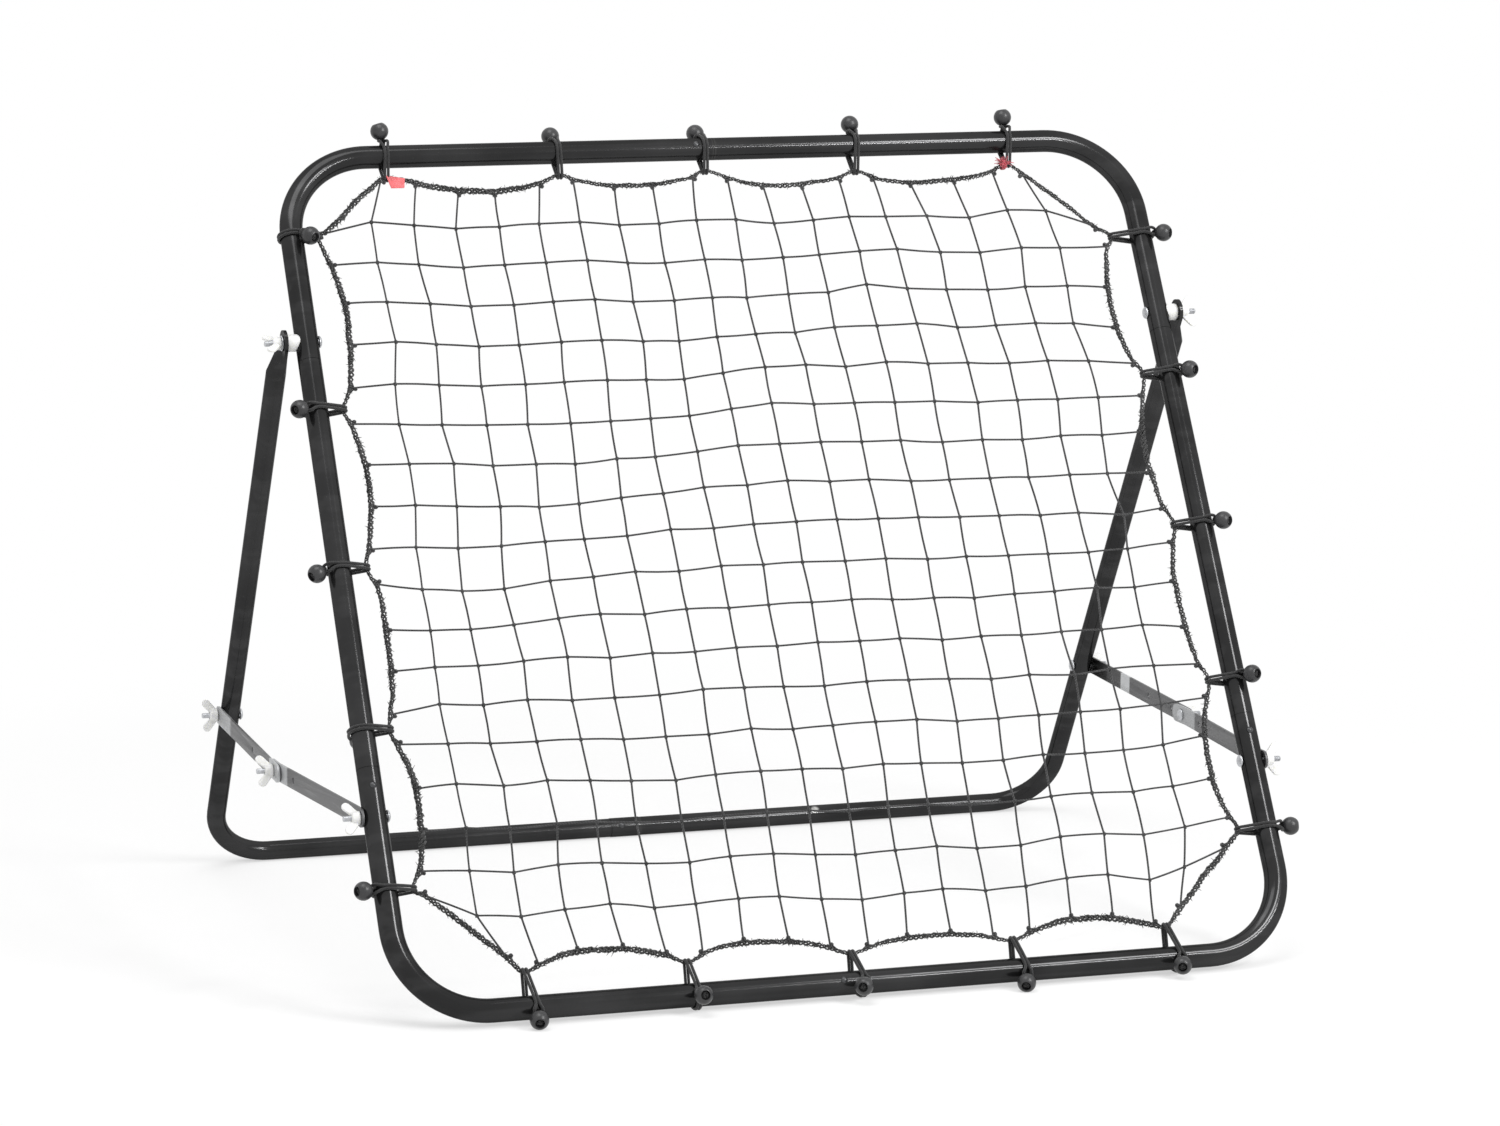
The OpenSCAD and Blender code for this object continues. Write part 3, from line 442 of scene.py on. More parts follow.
def studio_world():
    """A white surrounding that lights the object more softly than it looks."""
    f = Finish("studio", world=True)
    soft, white = (f.node("ShaderNodeBackground", {"Color": (1, 1, 1, 1), "Strength": strength})
                   for strength in (0.62, 1.0))
    return f.ends_in(f.node("ShaderNodeMixShader", {0: f.seen_straight(), 1: soft, 2: white}))


# ---- Modelling ----

def pick(*pieces):
    """Selects these pieces only and makes the first one active."""
    bpy.ops.object.select_all(action="DESELECT")
    for piece in pieces:
        piece.select_set(True)
    if pieces:
        bpy.context.view_layer.objects.active = pieces[0]


def linked(name, mesh):
    """A new object for a mesh, selected and active."""
    made = bpy.data.objects.new(name, mesh)
    bpy.context.collection.objects.link(made)
    pick(made)
    return made


def edit(action="SELECT"):
    """Goes into edit mode with everything selected, or nothing."""
    bpy.ops.object.mode_set(mode="EDIT")
    bpy.ops.mesh.select_all(action=action)


def close_edit():
    bpy.ops.object.mode_set(mode="OBJECT")


def smooth(degrees):
    """Shades the active piece smooth, except at edges that turn by more."""
    bpy.ops.object.shade_smooth_by_angle(angle=radians(degrees))


def settled(piece, name, finish):
    """Names a finished piece, applies its place and gives it its material."""
    pick(piece)
    bpy.ops.object.transform_apply()
    piece.name = piece.data.name = name
    piece.data.materials.clear()
    piece.data.materials.append(finish)
    return piece


def modifier(piece, kind, **settings):
    """Adds a modifier and applies it."""
    pick(piece)
    made = piece.modifiers.new(kind.lower(), kind)
    for key, value in settings.items():
        setattr(made, key, value)
    bpy.ops.object.modifier_apply(modifier=made.name)


def turned(profile, steps, closed=True):
    """Turns a profile of (radius, height) points about Z by extruding and resizing one ring."""
    pick()
    radius, height = profile[0]
    bpy.ops.mesh.primitive_circle_add(vertices=steps, radius=radius, location=(0, 0, height))
    piece = bpy.context.object
    bpy.ops.object.transform_apply()
    edit()
    if not closed:
        bpy.ops.mesh.edge_face_add()
    for next_radius, next_height in profile[1:]:
        bpy.ops.mesh.extrude_edges_move(TRANSFORM_OT_translate={"value": (0, 0, next_height - height)})
        k = next_radius / radius
        bpy.ops.transform.resize(value=(k, k, 1), center_override=(0, 0, 0))
        radius, height = next_radius, next_height
    if not closed:
        bpy.ops.mesh.edge_face_add()
    bpy.ops.mesh.select_all(action="SELECT")
    bpy.ops.mesh.remove_doubles(threshold=MERGE)
    bpy.ops.mesh.normals_make_consistent(inside=False)
    close_edit()
    smooth(38)
    return piece


def copied(piece, place):
    """A copy with its own mesh, moved to a place."""
    twin = piece.copy()
    twin.data = piece.data.copy()
    bpy.context.collection.objects.link(twin)
    twin.data.transform(place)
    if place.determinant() < 0:
        twin.data.flip_normals()
    return twin


def joined(pieces):
    pick(*pieces)
    if len(pieces) > 1:
        bpy.ops.object.join()
    return pieces[0]


def repainted(ending, finish):
    """Gives the frame's own parts whose names end like this a finish."""
    for name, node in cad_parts.items():
        if name.endswith(ending):
            node.material_slots[0].material = finish


def discard(piece):
    mesh = piece.data
    bpy.data.objects.remove(piece)
    bpy.data.meshes.remove(mesh)


def eased_copy(node, name, finish, width, shift=(0, 0, 0)):
    """A copy of a hard part with its sharp edges eased, moved a little where it hangs loose."""
    piece = linked(name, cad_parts[node].data.copy())
    piece.data.transform(Matrix.Translation(shift))
    if piece.data.has_custom_normals:
        bpy.ops.mesh.customdata_custom_splitnormals_clear()
    edit()
    bpy.ops.mesh.remove_doubles(threshold=MERGE)
    bpy.ops.mesh.dissolve_limited(angle_limit=radians(1))
    close_edit()
    modifier(piece, "BEVEL", width=width, segments=2, limit_method="ANGLE", angle_limit=radians(35),
             use_clamp_overlap=True)
    smooth(30)
    return settled(piece, name, finish)


def mounted(piece, body, slot, *nodes):
    """Puts a finished piece on its body, with the frame's nodes that it stands for."""
    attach(piece, body)
    if nodes:
        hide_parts(*nodes)


def unit(vector):
    return vector / np.linalg.norm(vector)


def lengths(points):
    """The lengths of a line's pieces."""
    return np.linalg.norm(np.diff(points, axis=0), axis=1)


def jitter(chance):
    return np.array([chance.uniform(-1, 1) for _ in range(3)])


def even(points, step, closed=False):
    """The same line with its points a step apart."""
    points = np.asarray(points, float)
    if closed:
        points = np.vstack([points, points[:1]])
    run = np.concatenate([[0], np.cumsum(lengths(points))])
    count = max(4, int(round(run[-1] / step)))
    at = np.linspace(0, run[-1], count + 1)
    made = np.stack([np.interp(at, run, points[:, k]) for k in range(3)], axis=1)
    return made[:-1] if closed else made


def eased(points, reach, closed=False):
    """A line with its corners softened over a number of points. Open ends stay."""
    weights = np.exp(-0.5 * (np.arange(-2 * reach, 2 * reach + 1) / reach) ** 2)
    weights /= weights.sum()
    n = len(points)
    made = np.zeros_like(points)
    for shift, weight in enumerate(weights, -2 * reach):
        index = np.arange(n) + shift
        made += weight * (points[index % n] if closed else points[np.clip(index, 0, n - 1)])
    if not closed:
        made[0], made[-1] = points[0], points[-1]
    return made


class Cords:
    """Collects cords as swept rings, and makes them one mesh with a UV map that runs along each cord."""

    def __init__(self):
        self.points, self.faces, self.uvs = [], [], []
        self.count = 0

    def frames(self, path, closed):
        """Two directions across the path at every point, turned evenly so that a closed path meets."""
        n = len(path)
        if closed:
            ways = np.roll(path, -1, 0) - np.roll(path, 1, 0)
        else:
            ways = np.gradient(path, axis=0)
        ways /= np.linalg.norm(ways, axis=1)[:, None]
        side = unit(np.cross(ways[0], (0.31, 0.93, 0.2)))
        sides = np.zeros_like(path)
        for i in range(n):
            side = sides[i] = unit(side - ways[i] * (side @ ways[i]))
        if closed:
            last = unit(sides[-1] - ways[0] * (sides[-1] @ ways[0]))
            gap = atan2(np.cross(sides[0], last) @ ways[0], sides[0] @ last)
            turn = -gap * np.arange(n) / n
            ups = np.cross(ways, sides)
            sides = sides * np.cos(turn)[:, None] + ups * np.sin(turn)[:, None]
        return sides, np.cross(ways, sides)

    def add(self, path, radius, around, closed=False, place=ON_FRAME):
        """Adds one cord whose path is given in the frame of a place."""
        path = moved(path, place)
        n = len(path)
        radius = np.broadcast_to(np.asarray(radius, float), (n,))
        sides, ups = self.frames(path, closed)
        angle = (np.arange(around) * 2 * pi / around)[None, :, None]
        rings = (path[:, None] + radius[:, None, None]
                 * (np.cos(angle) * sides[:, None] + np.sin(angle) * ups[:, None]))
        self.points.append(rings.reshape(-1, 3))
        steps = np.linalg.norm(np.roll(path, -1, 0) - path, axis=1)
        run = np.concatenate([[0], np.cumsum(steps)])
        for i in range(n if closed else n - 1):
            low, high = self.count + i * around, self.count + (i + 1) % n * around
            for k in range(around):
                m = (k + 1) % around
                self.faces.append([low + k, low + m, high + m, high + k])
                u, v = k / around, (k + 1) / around
                self.uvs += [(u, run[i]), (v, run[i]), (v, run[i + 1]), (u, run[i + 1])]
        if not closed:
            for i, turn in ((0, -1), (n - 1, 1)):
                self.faces.append([self.count + i * around + k for k in range(around)][::turn])
                self.uvs += [(0.5, run[i])] * around
        self.count += n * around

    def piece(self, name, finish):
        mesh = bpy.data.meshes.new(name)
        mesh.from_pydata(np.vstack(self.points).tolist(), [], self.faces)
        layer = mesh.uv_layers.new(name="cord")
        layer.data.foreach_set("uv", np.asarray(self.uvs, np.float32).ravel())
        mesh.update()
        made = linked(name, mesh)
        smooth(70)
        return settled(made, name, finish)


def moved(points, place):
    """Points of a local frame in the object's frame."""
    points = np.asarray(points, float)
    m = np.array(place, float)
    return points @ m[:3, :3].T + m[:3, 3]


# ---- Rope and net ----

def sides():
    """Each side's name, its loops' places as x and s, clockwise, its directions inwards and along the bar,
    and whether its tables run the other way."""
    side = POST_X - ROPE_REACH
    return [
        ("top", [Vector((x, TOP_S - ROPE_REACH)) for x in TOP_AT], Vector((0, -1)), Vector((1, 0)), False),
        ("right", [Vector((side, s)) for s in reversed(RIGHT_AT)], Vector((-1, 0)), Vector((0, 1)), True),
        ("bottom", [Vector((x, ROPE_REACH)) for x in reversed(BOTTOM_AT)], Vector((0, 1)), Vector((1, 0)),
         True),
        ("left", [Vector((-side, s)) for s in LEFT_AT], Vector((1, 0)), Vector((0, 1)), False),
    ]


def rope_line():
    """The rope's centreline in the frame's plane, as x and s, and its thickness as a share, clockwise."""
    half_hold, pinched, thin, swell = 0.0015, 0.62, 0.66, 0.38
    line, share, rows = [], [], []
    for name, points, inward, along, back in sides():
        catches = CATCHES[name][::-1] if back else CATCHES[name]
        held = [p + along * shift / 1000 + inward * (reach / 1000 - ROPE_REACH)
                for p, (shift, reach) in zip(points, catches)]
        rows.append((name, points, held, inward))

    def put(point, thick):
        line.append((point[0], 0, point[1]))
        share.append(thick)

    def hang(start, stop, across, depths, full):
        for n, depth in enumerate(depths):
            t = (n + 1) / 10
            put(start + (stop - start) * t + across * depth / 1000, full(t))

    for number, (name, points, held, inward) in enumerate(rows):
        way = (points[4] - points[0]).normalized()
        for k, at in enumerate(held):
            put(at - half_hold * way, pinched)
            put(at + half_hold * way, pinched)
            if k < 4:
                hang(points[k] + CATCH_HALF * way, points[k + 1] - CATCH_HALF * way, inward, SAGS[name][k],
                     lambda t: FULLNESS[name][k] * (thin + swell * min(1, 4 * t * (1 - t) * 1.2)))
        start, stop = points[4], rows[(number + 1) % 4][1][0]
        slant = (stop - start).normalized()
        hang(start, stop, Vector((slant[1], -slant[0])), SAGS[name][4],
             lambda t: FULLNESS[name][4] * (0.85 + 0.15 * sin(pi * t)))
    return np.array(line), np.array(share)


def rope_path(step):
    """The smooth rope centreline with its thickness at every point."""
    line, share = rope_line()
    whole = np.vstack([line, line[:1]])
    run = np.concatenate([[0], np.cumsum(lengths(whole))])
    even_line = even(line, step, closed=True)
    at = np.linspace(0, run[-1], len(even_line), endpoint=False)
    thick = np.interp(at, run, np.append(share, share[0]))
    reach = max(1, int(0.0035 / step))
    return eased(even_line, reach, closed=True), thick


def crossings(line, axis, value):
    """Where a closed line crosses a plane, as the least and greatest place on the other axis."""
    other = 2 - axis
    found = []
    for a, b in zip(line, np.roll(line, -1, 0)):
        if (a[axis] - value) * (b[axis] - value) < 0:
            t = (value - a[axis]) / (b[axis] - a[axis])
            found.append((a + (b - a) * t)[other])
    return min(found), max(found)


def net_cords(sizes, chance):
    """The net's strands, its knots and its hitches on the rope."""
    line, _ = rope_path(0.002)
    radius = sizes.strand / 2
    count = len(UPRIGHTS)
    layer, sway_most = 0.00045, 0.0006
    knot_long, knot_short, hitch_r, lift = 0.0016, 0.0014, 0.0017, 0.0042
    cords = Cords()

    def ring(centre, one, two):
        around = np.linspace(0, TURN, 7, endpoint=False)
        cords.add([centre + one * cos(a) + two * sin(a) for a in around], radius * 0.95, 4, closed=True)

    knots = {}
    for i, x in enumerate(UPRIGHTS):
        for j, s in enumerate(LEVELS):
            knots[i, j] = np.array([x + AWRY_X[j][i] + chance.uniform(-0.4, 0.4), chance.uniform(-0.6, 0.6),
                                    s + AWRY_S[j][i] + chance.uniform(-0.4, 0.4)]) / 1000
    ends = []
    for axis, low_ties, high_ties in ((0, BOTTOM_TIES, TOP_TIES), (2, LEFT_TIES, RIGHT_TIES)):
        for i in range(count):
            first, last = np.zeros(3), np.zeros(3)
            first[axis], last[axis] = low_ties[i] / 1000, high_ties[i] / 1000
            first[2 - axis] = crossings(line, axis, first[axis])[0]
            last[2 - axis] = crossings(line, axis, last[axis])[1]
            ends += [first, last]
            path = []
            route = [first, *(knots[(i, j) if axis == 0 else (j, i)] for j in range(count)), last]
            for a, b in zip(route, route[1:]):
                sway = jitter(chance) * sway_most
                sway[2 - axis] = 0
                path += [a + (b - a) * t + sway * sin(pi * t) for t in (0, 0.25, 0.5, 0.75)]
            path = np.array(path + [last])
            path[:, 1] += layer if axis == 0 else -layer
            cords.add(path, radius, 6)
    for centre in knots.values():
        for start in (0.5, 1.9):
            lean, twist = chance.uniform(start, start + 0.6), chance.uniform(0.35, 0.8)
            tilt = np.array(Matrix.Rotation(lean, 3, "Y") @ Matrix.Rotation(twist, 3, "Z"))
            ring(centre, knot_long * tilt[:, 0], knot_short * tilt[:, 1])
    middle, up = np.array((0, 0, TOP_S / 2)), np.array((0, 1, 0))
    n = len(line)
    for end in ends:
        near = int(np.argmin(np.linalg.norm(line - end, axis=1)))
        way = unit(line[(near + 2) % n] - line[near - 2])
        across = np.cross(way, up)
        if across @ (middle - line[near]) < 0:
            across = -across
        apex = line[near] + across * (lift + chance.uniform(-0.0004, 0.0006))
        hitch = [line[(near + k) % n] + across * out
                 for k, out in ((-3, 0.0008), (-1, 0.0026), (0, lift), (1, 0.0026), (3, 0.0008))]
        cords.add(hitch, radius, 5)
        for turn in (0.2, 1.7):
            ring(apex, hitch_r * across, hitch_r * (way * cos(turn) + up * sin(turn)))
    return cords


def rope_cords(sizes, chance):
    """Three loose, lumpy strands laid round each other, with frayed fibres."""
    step = 0.0022
    line, thick = rope_path(step)
    n = len(line)
    run = np.arange(n) * step

    def waver(rate, row, column):
        return np.array([noise.noise(Vector((r * rate, row, column))) for r in run])

    sway_most, free_from, blend = 0.0011, 0.7, 12
    sway = np.stack([waver(30, k * 7.7, 1.5) for k in range(3)], axis=1) * sway_most
    sway *= (thick > free_from)[:, None] * 0.8 + 0.2
    from_ends = np.minimum(np.arange(n), n - 1 - np.arange(n)) / blend
    line = line + sway * np.clip(from_ends, 0, 1)[:, None]
    cords = Cords()
    across, ups = cords.frames(line, True)
    turns = round(n * step / sizes.lay)
    rope_r = sizes.rope / 2 * thick
    strand_out, strand_r, fibre_r = 0.60, 0.33, [0.0005, 0.00045, 0.00035, 0.0002]
    for k in range(3):
        a = 2 * pi * (np.arange(n) * turns / n + k / 3)
        out = rope_r * strand_out * (1 + 0.5 * waver(90, k * 5.3, 2.2))
        strand = line + out[:, None] * (np.cos(a)[:, None] * across + np.sin(a)[:, None] * ups)
        cords.add(strand, rope_r * strand_r * (1 + 0.5 * waver(150, k * 3.1, 8.2)), 6, closed=True)
    for _ in range(sizes.fibres):
        i = chance.randrange(n)
        if chance.random() > thick[i] ** 2:
            continue
        a = chance.uniform(0, TURN)
        out = cos(a) * across[i] + sin(a) * ups[i]
        way = unit(line[(i + 1) % n] - line[i - 1])
        lean = chance.uniform(-2.2, 2.2)
        length = chance.uniform(0.0008, 0.0030) * (0.4 + 0.6 * thick[i])
        bend = jitter(chance) * 0.9
        start = line[i] + out * rope_r[i] * 0.75
        path = [start + (out + way * lean) * length * t * 0.5 + bend * length * t * t
                for t in (0, 0.33, 0.66, 1)]
        cords.add(path, fibre_r, 3)
    return cords


# ---- Loops and balls ----

def side_places():
    """The five loops' ties on each side."""
    def frames(where, places, turn):
        return [Matrix.Translation(where(at)) @ Matrix.Rotation(turn, 4, "Y") for at in places]

    rows = {
        "top": (frames(lambda x: (x, 0, TOP_S), TOP_AT, 0), TOP_TURN, 1),
        "bottom": (frames(lambda x: (x, 0, 0), BOTTOM_AT, pi), BOTTOM_TURN, -1),
        "left": (frames(lambda s: (-POST_X, 0, s), LEFT_AT, -pi / 2), LEFT_TURN, 1),
        "right": (frames(lambda s: (POST_X, 0, s), RIGHT_AT, pi / 2), RIGHT_TURN, -1),
    }
    return {side: [Tie(ON_FRAME @ place, radians(turn), flip * shift / 1000, reach / 1000,
                       flip * droop / 1000, BALL_REACH[side])
                   for place, turn, (shift, reach), droop in zip(places, turns, CATCHES[side], DROOPS[side])]
            for side, (places, turns, flip) in rows.items()}


class Tie:
    """One loop's place: its frame, its ball's turn, where it holds the rope and how its ball hangs."""

    def __init__(self, place, turn, shift, reach, droop, ball_reach):
        self.place, self.turn, self.shift, self.reach = place, turn, shift, reach
        self.droop, self.ball_reach = droop, ball_reach

    def neck(self, lay):
        """The frame of the ball's neck: on the tube, with Z towards the ball."""
        slant = atan2(self.droop, self.ball_reach - lay)
        return (Matrix.Rotation(self.turn, 4, "X") @ Matrix.Translation((0, 0, lay))
                @ Matrix.Rotation(slant, 4, "Y"))

    def ball_out(self, lay):
        """Distance of the ball's middle from its neck."""
        return hypot(self.droop, self.ball_reach - lay)

    def ball(self, lay, past=0.0):
        """The frame of the ball's middle, or of a point past it."""
        return self.place @ self.neck(lay) @ Matrix.Translation((0, 0, self.ball_out(lay) + past))


def tube_lay(cord):
    """Distance of a cord's middle from the middle of the tube that it lies on."""
    return TUBE_R + 0.0003 + cord / 2


def loop_path(tie, cord, chance):
    """One elastic loop as a single line: out of the ball, round the tube's rear and the rope,
    up the front, round the ball's neck and back the same way."""
    half = cord / 2
    lay = tube_lay(cord)
    rope_lay = 0.0026 + half
    turn, reach = tie.turn, tie.reach
    contact = pi / 2 + asin((lay - rope_lay) / reach)
    pair, spread = half + 0.00005, 0.0002
    hook_r, hook = lay + cord + 0.0002, 0.0044
    past_neck, short_of_neck, step = radians(14), radians(24), radians(7)
    round_rope, quarter = 12, 6

    def at(angle, radius, x):
        return x, -radius * sin(angle), radius * cos(angle)

    neck, out = tie.neck(lay), tie.ball_out(lay)
    in_neck = ((0.0012, out + 0.0045), (0.0015, out - 0.003), (0.0016, 0.0055), (0.0016, 0.0025))
    path = [tuple(neck @ Vector((x, 0, z))) for x, z in in_neck]
    angle = turn - past_neck
    while angle > -contact:
        path.append(at(angle, lay, pair))
        angle -= step
    path.append(at(-contact, lay, pair))
    for k in range(round_rope + 1):
        a = -contact - (2 * pi - 2 * contact) * k / round_rope
        path.append((pair + spread * k / round_rope, -rope_lay * sin(a), -reach + rope_lay * cos(a)))
    rise = turn + short_of_neck
    if rise < contact:
        arc = np.linspace(contact, rise, max(4, int((contact - rise) / 0.1) + 2))
        for k, a in enumerate(arc):
            lift = max(0.0, (k + 1) / len(arc) - 0.62) / 0.38
            path.append(at(a, lay + (hook_r - lay) * lift ** 1.5, pair + (hook - pair) * lift ** 1.3))
    wobble = chance.uniform(-0.0004, 0.0004)
    for k in range(quarter + 1):
        a = pi / 2 * k / quarter
        path.append(at(turn - hook * sin(a) / hook_r, hook_r, hook * cos(a) + wobble * sin(a)))
    back = [(-x, y, z) for x, y, z in reversed(path[:-1])]
    count = len(in_neck)
    back[-count:] = [tuple(neck @ Vector((-x, 0, z))) for x, z in reversed(in_neck)]

    # The rope's side of the loop leans towards its catch, and the ball's side towards the ball
    whole = np.array(path + back)
    height = whole[:, 2]
    far = np.hypot(whole[:, 1], height)
    share = np.where(whole[:, 1] > 0, (TUBE_R - height) / TUBE_R, -height / reach)
    toward = (-whole[:, 1] * sin(turn) + height * cos(turn)) / far
    by_ball = (np.clip((toward - 0.75) / 0.15, 0, 1)
               * np.clip((far - lay) / (tie.ball_reach - lay), 0, 1))
    by_ball[:count] = by_ball[-count:] = 0
    whole[:, 0] += tie.shift * np.clip(share, 0, 1) + tie.droop * by_ball
    return eased(even(whole, 0.0011), 2)


def knot_path(size):
    """A small overhand knot's line."""
    a = np.linspace(0, TURN, 40, endpoint=False)
    reach = size * (2 + np.cos(3 * a)) / 3
    return np.stack([reach * np.cos(2 * a), reach * np.sin(2 * a), size * 0.45 * np.sin(3 * a)], axis=1)


def make_loops(side, ties, sizes, finish):
    chance = random.Random(f"loops {side}")
    cords = Cords()
    length = 0
    lay = tube_lay(sizes.cord)
    past_ball, knot, knot_r, end_r = 0.0038, 0.0027, 0.00125, 0.0012
    for tie in ties:
        path = loop_path(tie, sizes.cord, chance)
        length = max(length, lengths(path).sum())
        waver = [abs(noise.noise(Vector((k * 0.11, tie.turn, 3)))) for k in range(len(path))]
        squeeze = 1 - 0.06 * np.array(waver)
        cords.add(path, sizes.cord / 2 * squeeze, 8, place=tie.place)
        tip = tie.ball(lay, past_ball)
        cords.add(knot_path(knot), knot_r, 6, closed=True, place=tip)
        for x, lean in ((0.0011, 0.5), (-0.0012, -0.35)):
            end = [(x, 0, 0.0005), (x * 1.4, lean * 0.0006, 0.0016), (x * 1.9, lean * 0.0012, 0.0026)]
            cords.add(end, [end_r, end_r, 0.00105], 6, place=tip)
    piece = cords.piece(f"{side}_elastic_loops", finish)
    piece["cord_length"] = round(float(length), 4)
    mounted(piece, "front_frame", "elastic_cord", f"{side}_loops")


def ball_profile(ball):
    """The ball's section: a bore for the cord at its inner end and a recess at its outer end."""
    r = ball / 2
    recess, bore, lip = 0.0046, 0.0036, 0.0006
    outer = [(r * cos(a), r * sin(a))
             for a in np.linspace(acos((recess + lip) / r), -acos((bore + lip) / r), 20)]
    top = outer[0][1]
    low = outer[-1][1]
    return ([(bore, 0.001), (recess, 0.0012), (recess, top - lip), (recess + lip * 0.3, top + lip * 0.1)]
            + outer + [(bore + lip * 0.3, low - lip * 0.1), (bore, low + lip), (bore, 0.001)])


# ---- Wing nuts and bolts ----

def wing_nut_master(sizes):
    """A moulded wing nut on the Z axis, base at z = 0."""
    hub_r, hub_h, bore, voxel = sizes.hub / 2, NUT_H, 0.0031, 0.00042
    tip_at, tip_r, tip_thick, root_at, flare = (0.013, hub_h + 0.0031), 0.0045, 0.003, (0.0050, 0.0048), 1.35
    parts = [turned([(bore, 0.0), (hub_r - 0.0008, 0.0), (hub_r, 0.0007), (hub_r, 0.0022),
                     (hub_r - 0.0005, 0.0055), (hub_r - 0.0009, hub_h - 0.0012), (hub_r - 0.0022, hub_h),
                     (0.0038, hub_h), (bore, hub_h - 0.0006), (bore, 0.0)], 40)]
    for side in (1, -1):
        pick()
        tip, root = (Vector((side * x, 0, z)) for x, z in (tip_at, root_at))
        bpy.ops.mesh.primitive_cylinder_add(vertices=32, radius=tip_r, depth=tip_thick, location=tip,
                                            rotation=(pi / 2, 0, 0))
        wing = bpy.context.object
        bpy.ops.object.transform_apply()
        inward = (root - tip).normalized()
        edit("DESELECT")
        close_edit()
        for vertex in wing.data.vertices:
            vertex.select = (vertex.co - tip).dot(inward) > tip_r * 0.08
        bpy.ops.object.mode_set(mode="EDIT")
        bpy.ops.transform.translate(value=inward * ((root - tip).length - tip_r * 0.2))
        bpy.ops.transform.resize(value=(0.86, flare, 0.86), center_override=root)
        close_edit()
        modifier(wing, "BEVEL", width=0.0009, segments=3, limit_method="ANGLE",
                 angle_limit=radians(50))
        parts.append(wing)
    nut = joined(parts)
    modifier(nut, "REMESH", mode="VOXEL", voxel_size=voxel, use_smooth_shade=True)
    modifier(nut, "SMOOTH", factor=0.5, iterations=5)
    bpy.ops.object.shade_smooth()
    return nut


def bolt_profile(length, head):
    """A domed head below z = 0 and a threaded shank above it. The first HEAD_POINTS are the head's."""
    head_r, dome = head / 2, HEAD_H * 0.85
    curve = [(head_r * sin(a), -HEAD_H + dome * (1 - cos(a)))
             for a in np.linspace(0.06, pi / 2, HEAD_POINTS - 3)]
    curve += [(head_r, -0.0003), (head_r - 0.0004, 0), (0.003, 0.0)]
    pitch, threaded, valley, crest = 0.001, 0.012, 0.0026, 0.00295
    z = max(pitch, length - threaded)
    thread = [(0.0029, z)]
    while z < length - 0.0012:
        thread += [(valley, z + 0.00035), (crest, z + 0.0006), (crest, z + 0.00075)]
        z += pitch
    return curve + thread + [(0.0027, length - 0.0005), (0.0022, length), (0.0004, length)]


def turned_set(profile, steps, places, name, finish, body, slot, node, closed=True):
    """Pieces turned from one profile, in several places, as one finished mesh."""
    master = turned(profile, steps, closed)
    pieces = [copied(master, place) for place in places]
    discard(master)
    mounted(settled(joined(pieces), name, finish), body, slot, node)


def at_bolt(point, x, turn, side):
    """The frame of a bolt's axis, with Z outwards on its side and turned about the bolt."""
    base = Matrix.Translation(point) @ Matrix.Translation((x, 0, 0))
    base = base @ Matrix.Rotation(radians(turn), 4, "X") @ Matrix.Rotation(pi / 2, 4, "Y")
    return Matrix.Scale(-1, 4, (1, 0, 0)) @ base if side == "left" else base


# ---- Ribbon and marker ----

def ribbon_cords(chance):
    """A red ribbon of loose yarn, knotted round the rope, with a frayed tuft."""
    x, s = TOP_AT[4] - CATCH_HALF - 0.003, TOP_S - ROPE_REACH - 0.001
    ring_r, ring_step, yarn_r, knot_r, knot_size = 0.0045, 0.0013, 0.00095, 0.00115, 0.0030
    tuft, aims = 54, ((-0.45, 0.55), (-0.35, 0.35), (-0.25, 0.75))
    tuft_r = [0.0007, 0.00065, 0.0006, 0.0005, 0.0003]
    cords = Cords()
    a = np.linspace(0, TURN, 22, endpoint=False)
    for k in range(3):
        across = x + (k - 1) * ring_step + 0.0006 * np.sin(3 * a + k)
        ring = np.stack([across, ring_r * np.cos(a), s + ring_r * np.sin(a)], axis=1)
        cords.add(ring, yarn_r, 6, closed=True)
    front = np.array([x, 0, s]) + np.array([-0.001, -0.0072, -0.001])
    for k in range(3):
        turn = Matrix.Rotation(0.9 * k + 0.3, 3, "Y") @ Matrix.Rotation(0.7 * k, 3, "X")
        knot = np.array([np.array(turn @ Vector(p)) for p in knot_path(knot_size)]) + front
        cords.add(knot, knot_r, 6, closed=True)
    for _ in range(tuft):
        aim = unit(np.array([chance.gauss(middle, width) for middle, width in aims]))
        length = chance.uniform(0.004, 0.0105)
        curl = jitter(chance) * 0.45
        path = [front + aim * length * t + curl * length * t * t * 0.6 for t in (0, 0.25, 0.5, 0.75, 1)]
        cords.add(path, tuft_r, 4)
    return cords


# ---- Properties ----

def length_property(name, description, default):
    return bpy.props.FloatProperty(name=name, description=description, default=default, min=0.0002, max=0.1,
                                   precision=5, unit="LENGTH", subtype="DISTANCE")


def colour_property(name, description, default):
    return bpy.props.FloatVectorProperty(name=name, description=description, default=default, size=3,
                                         min=0, max=1, subtype="COLOR")


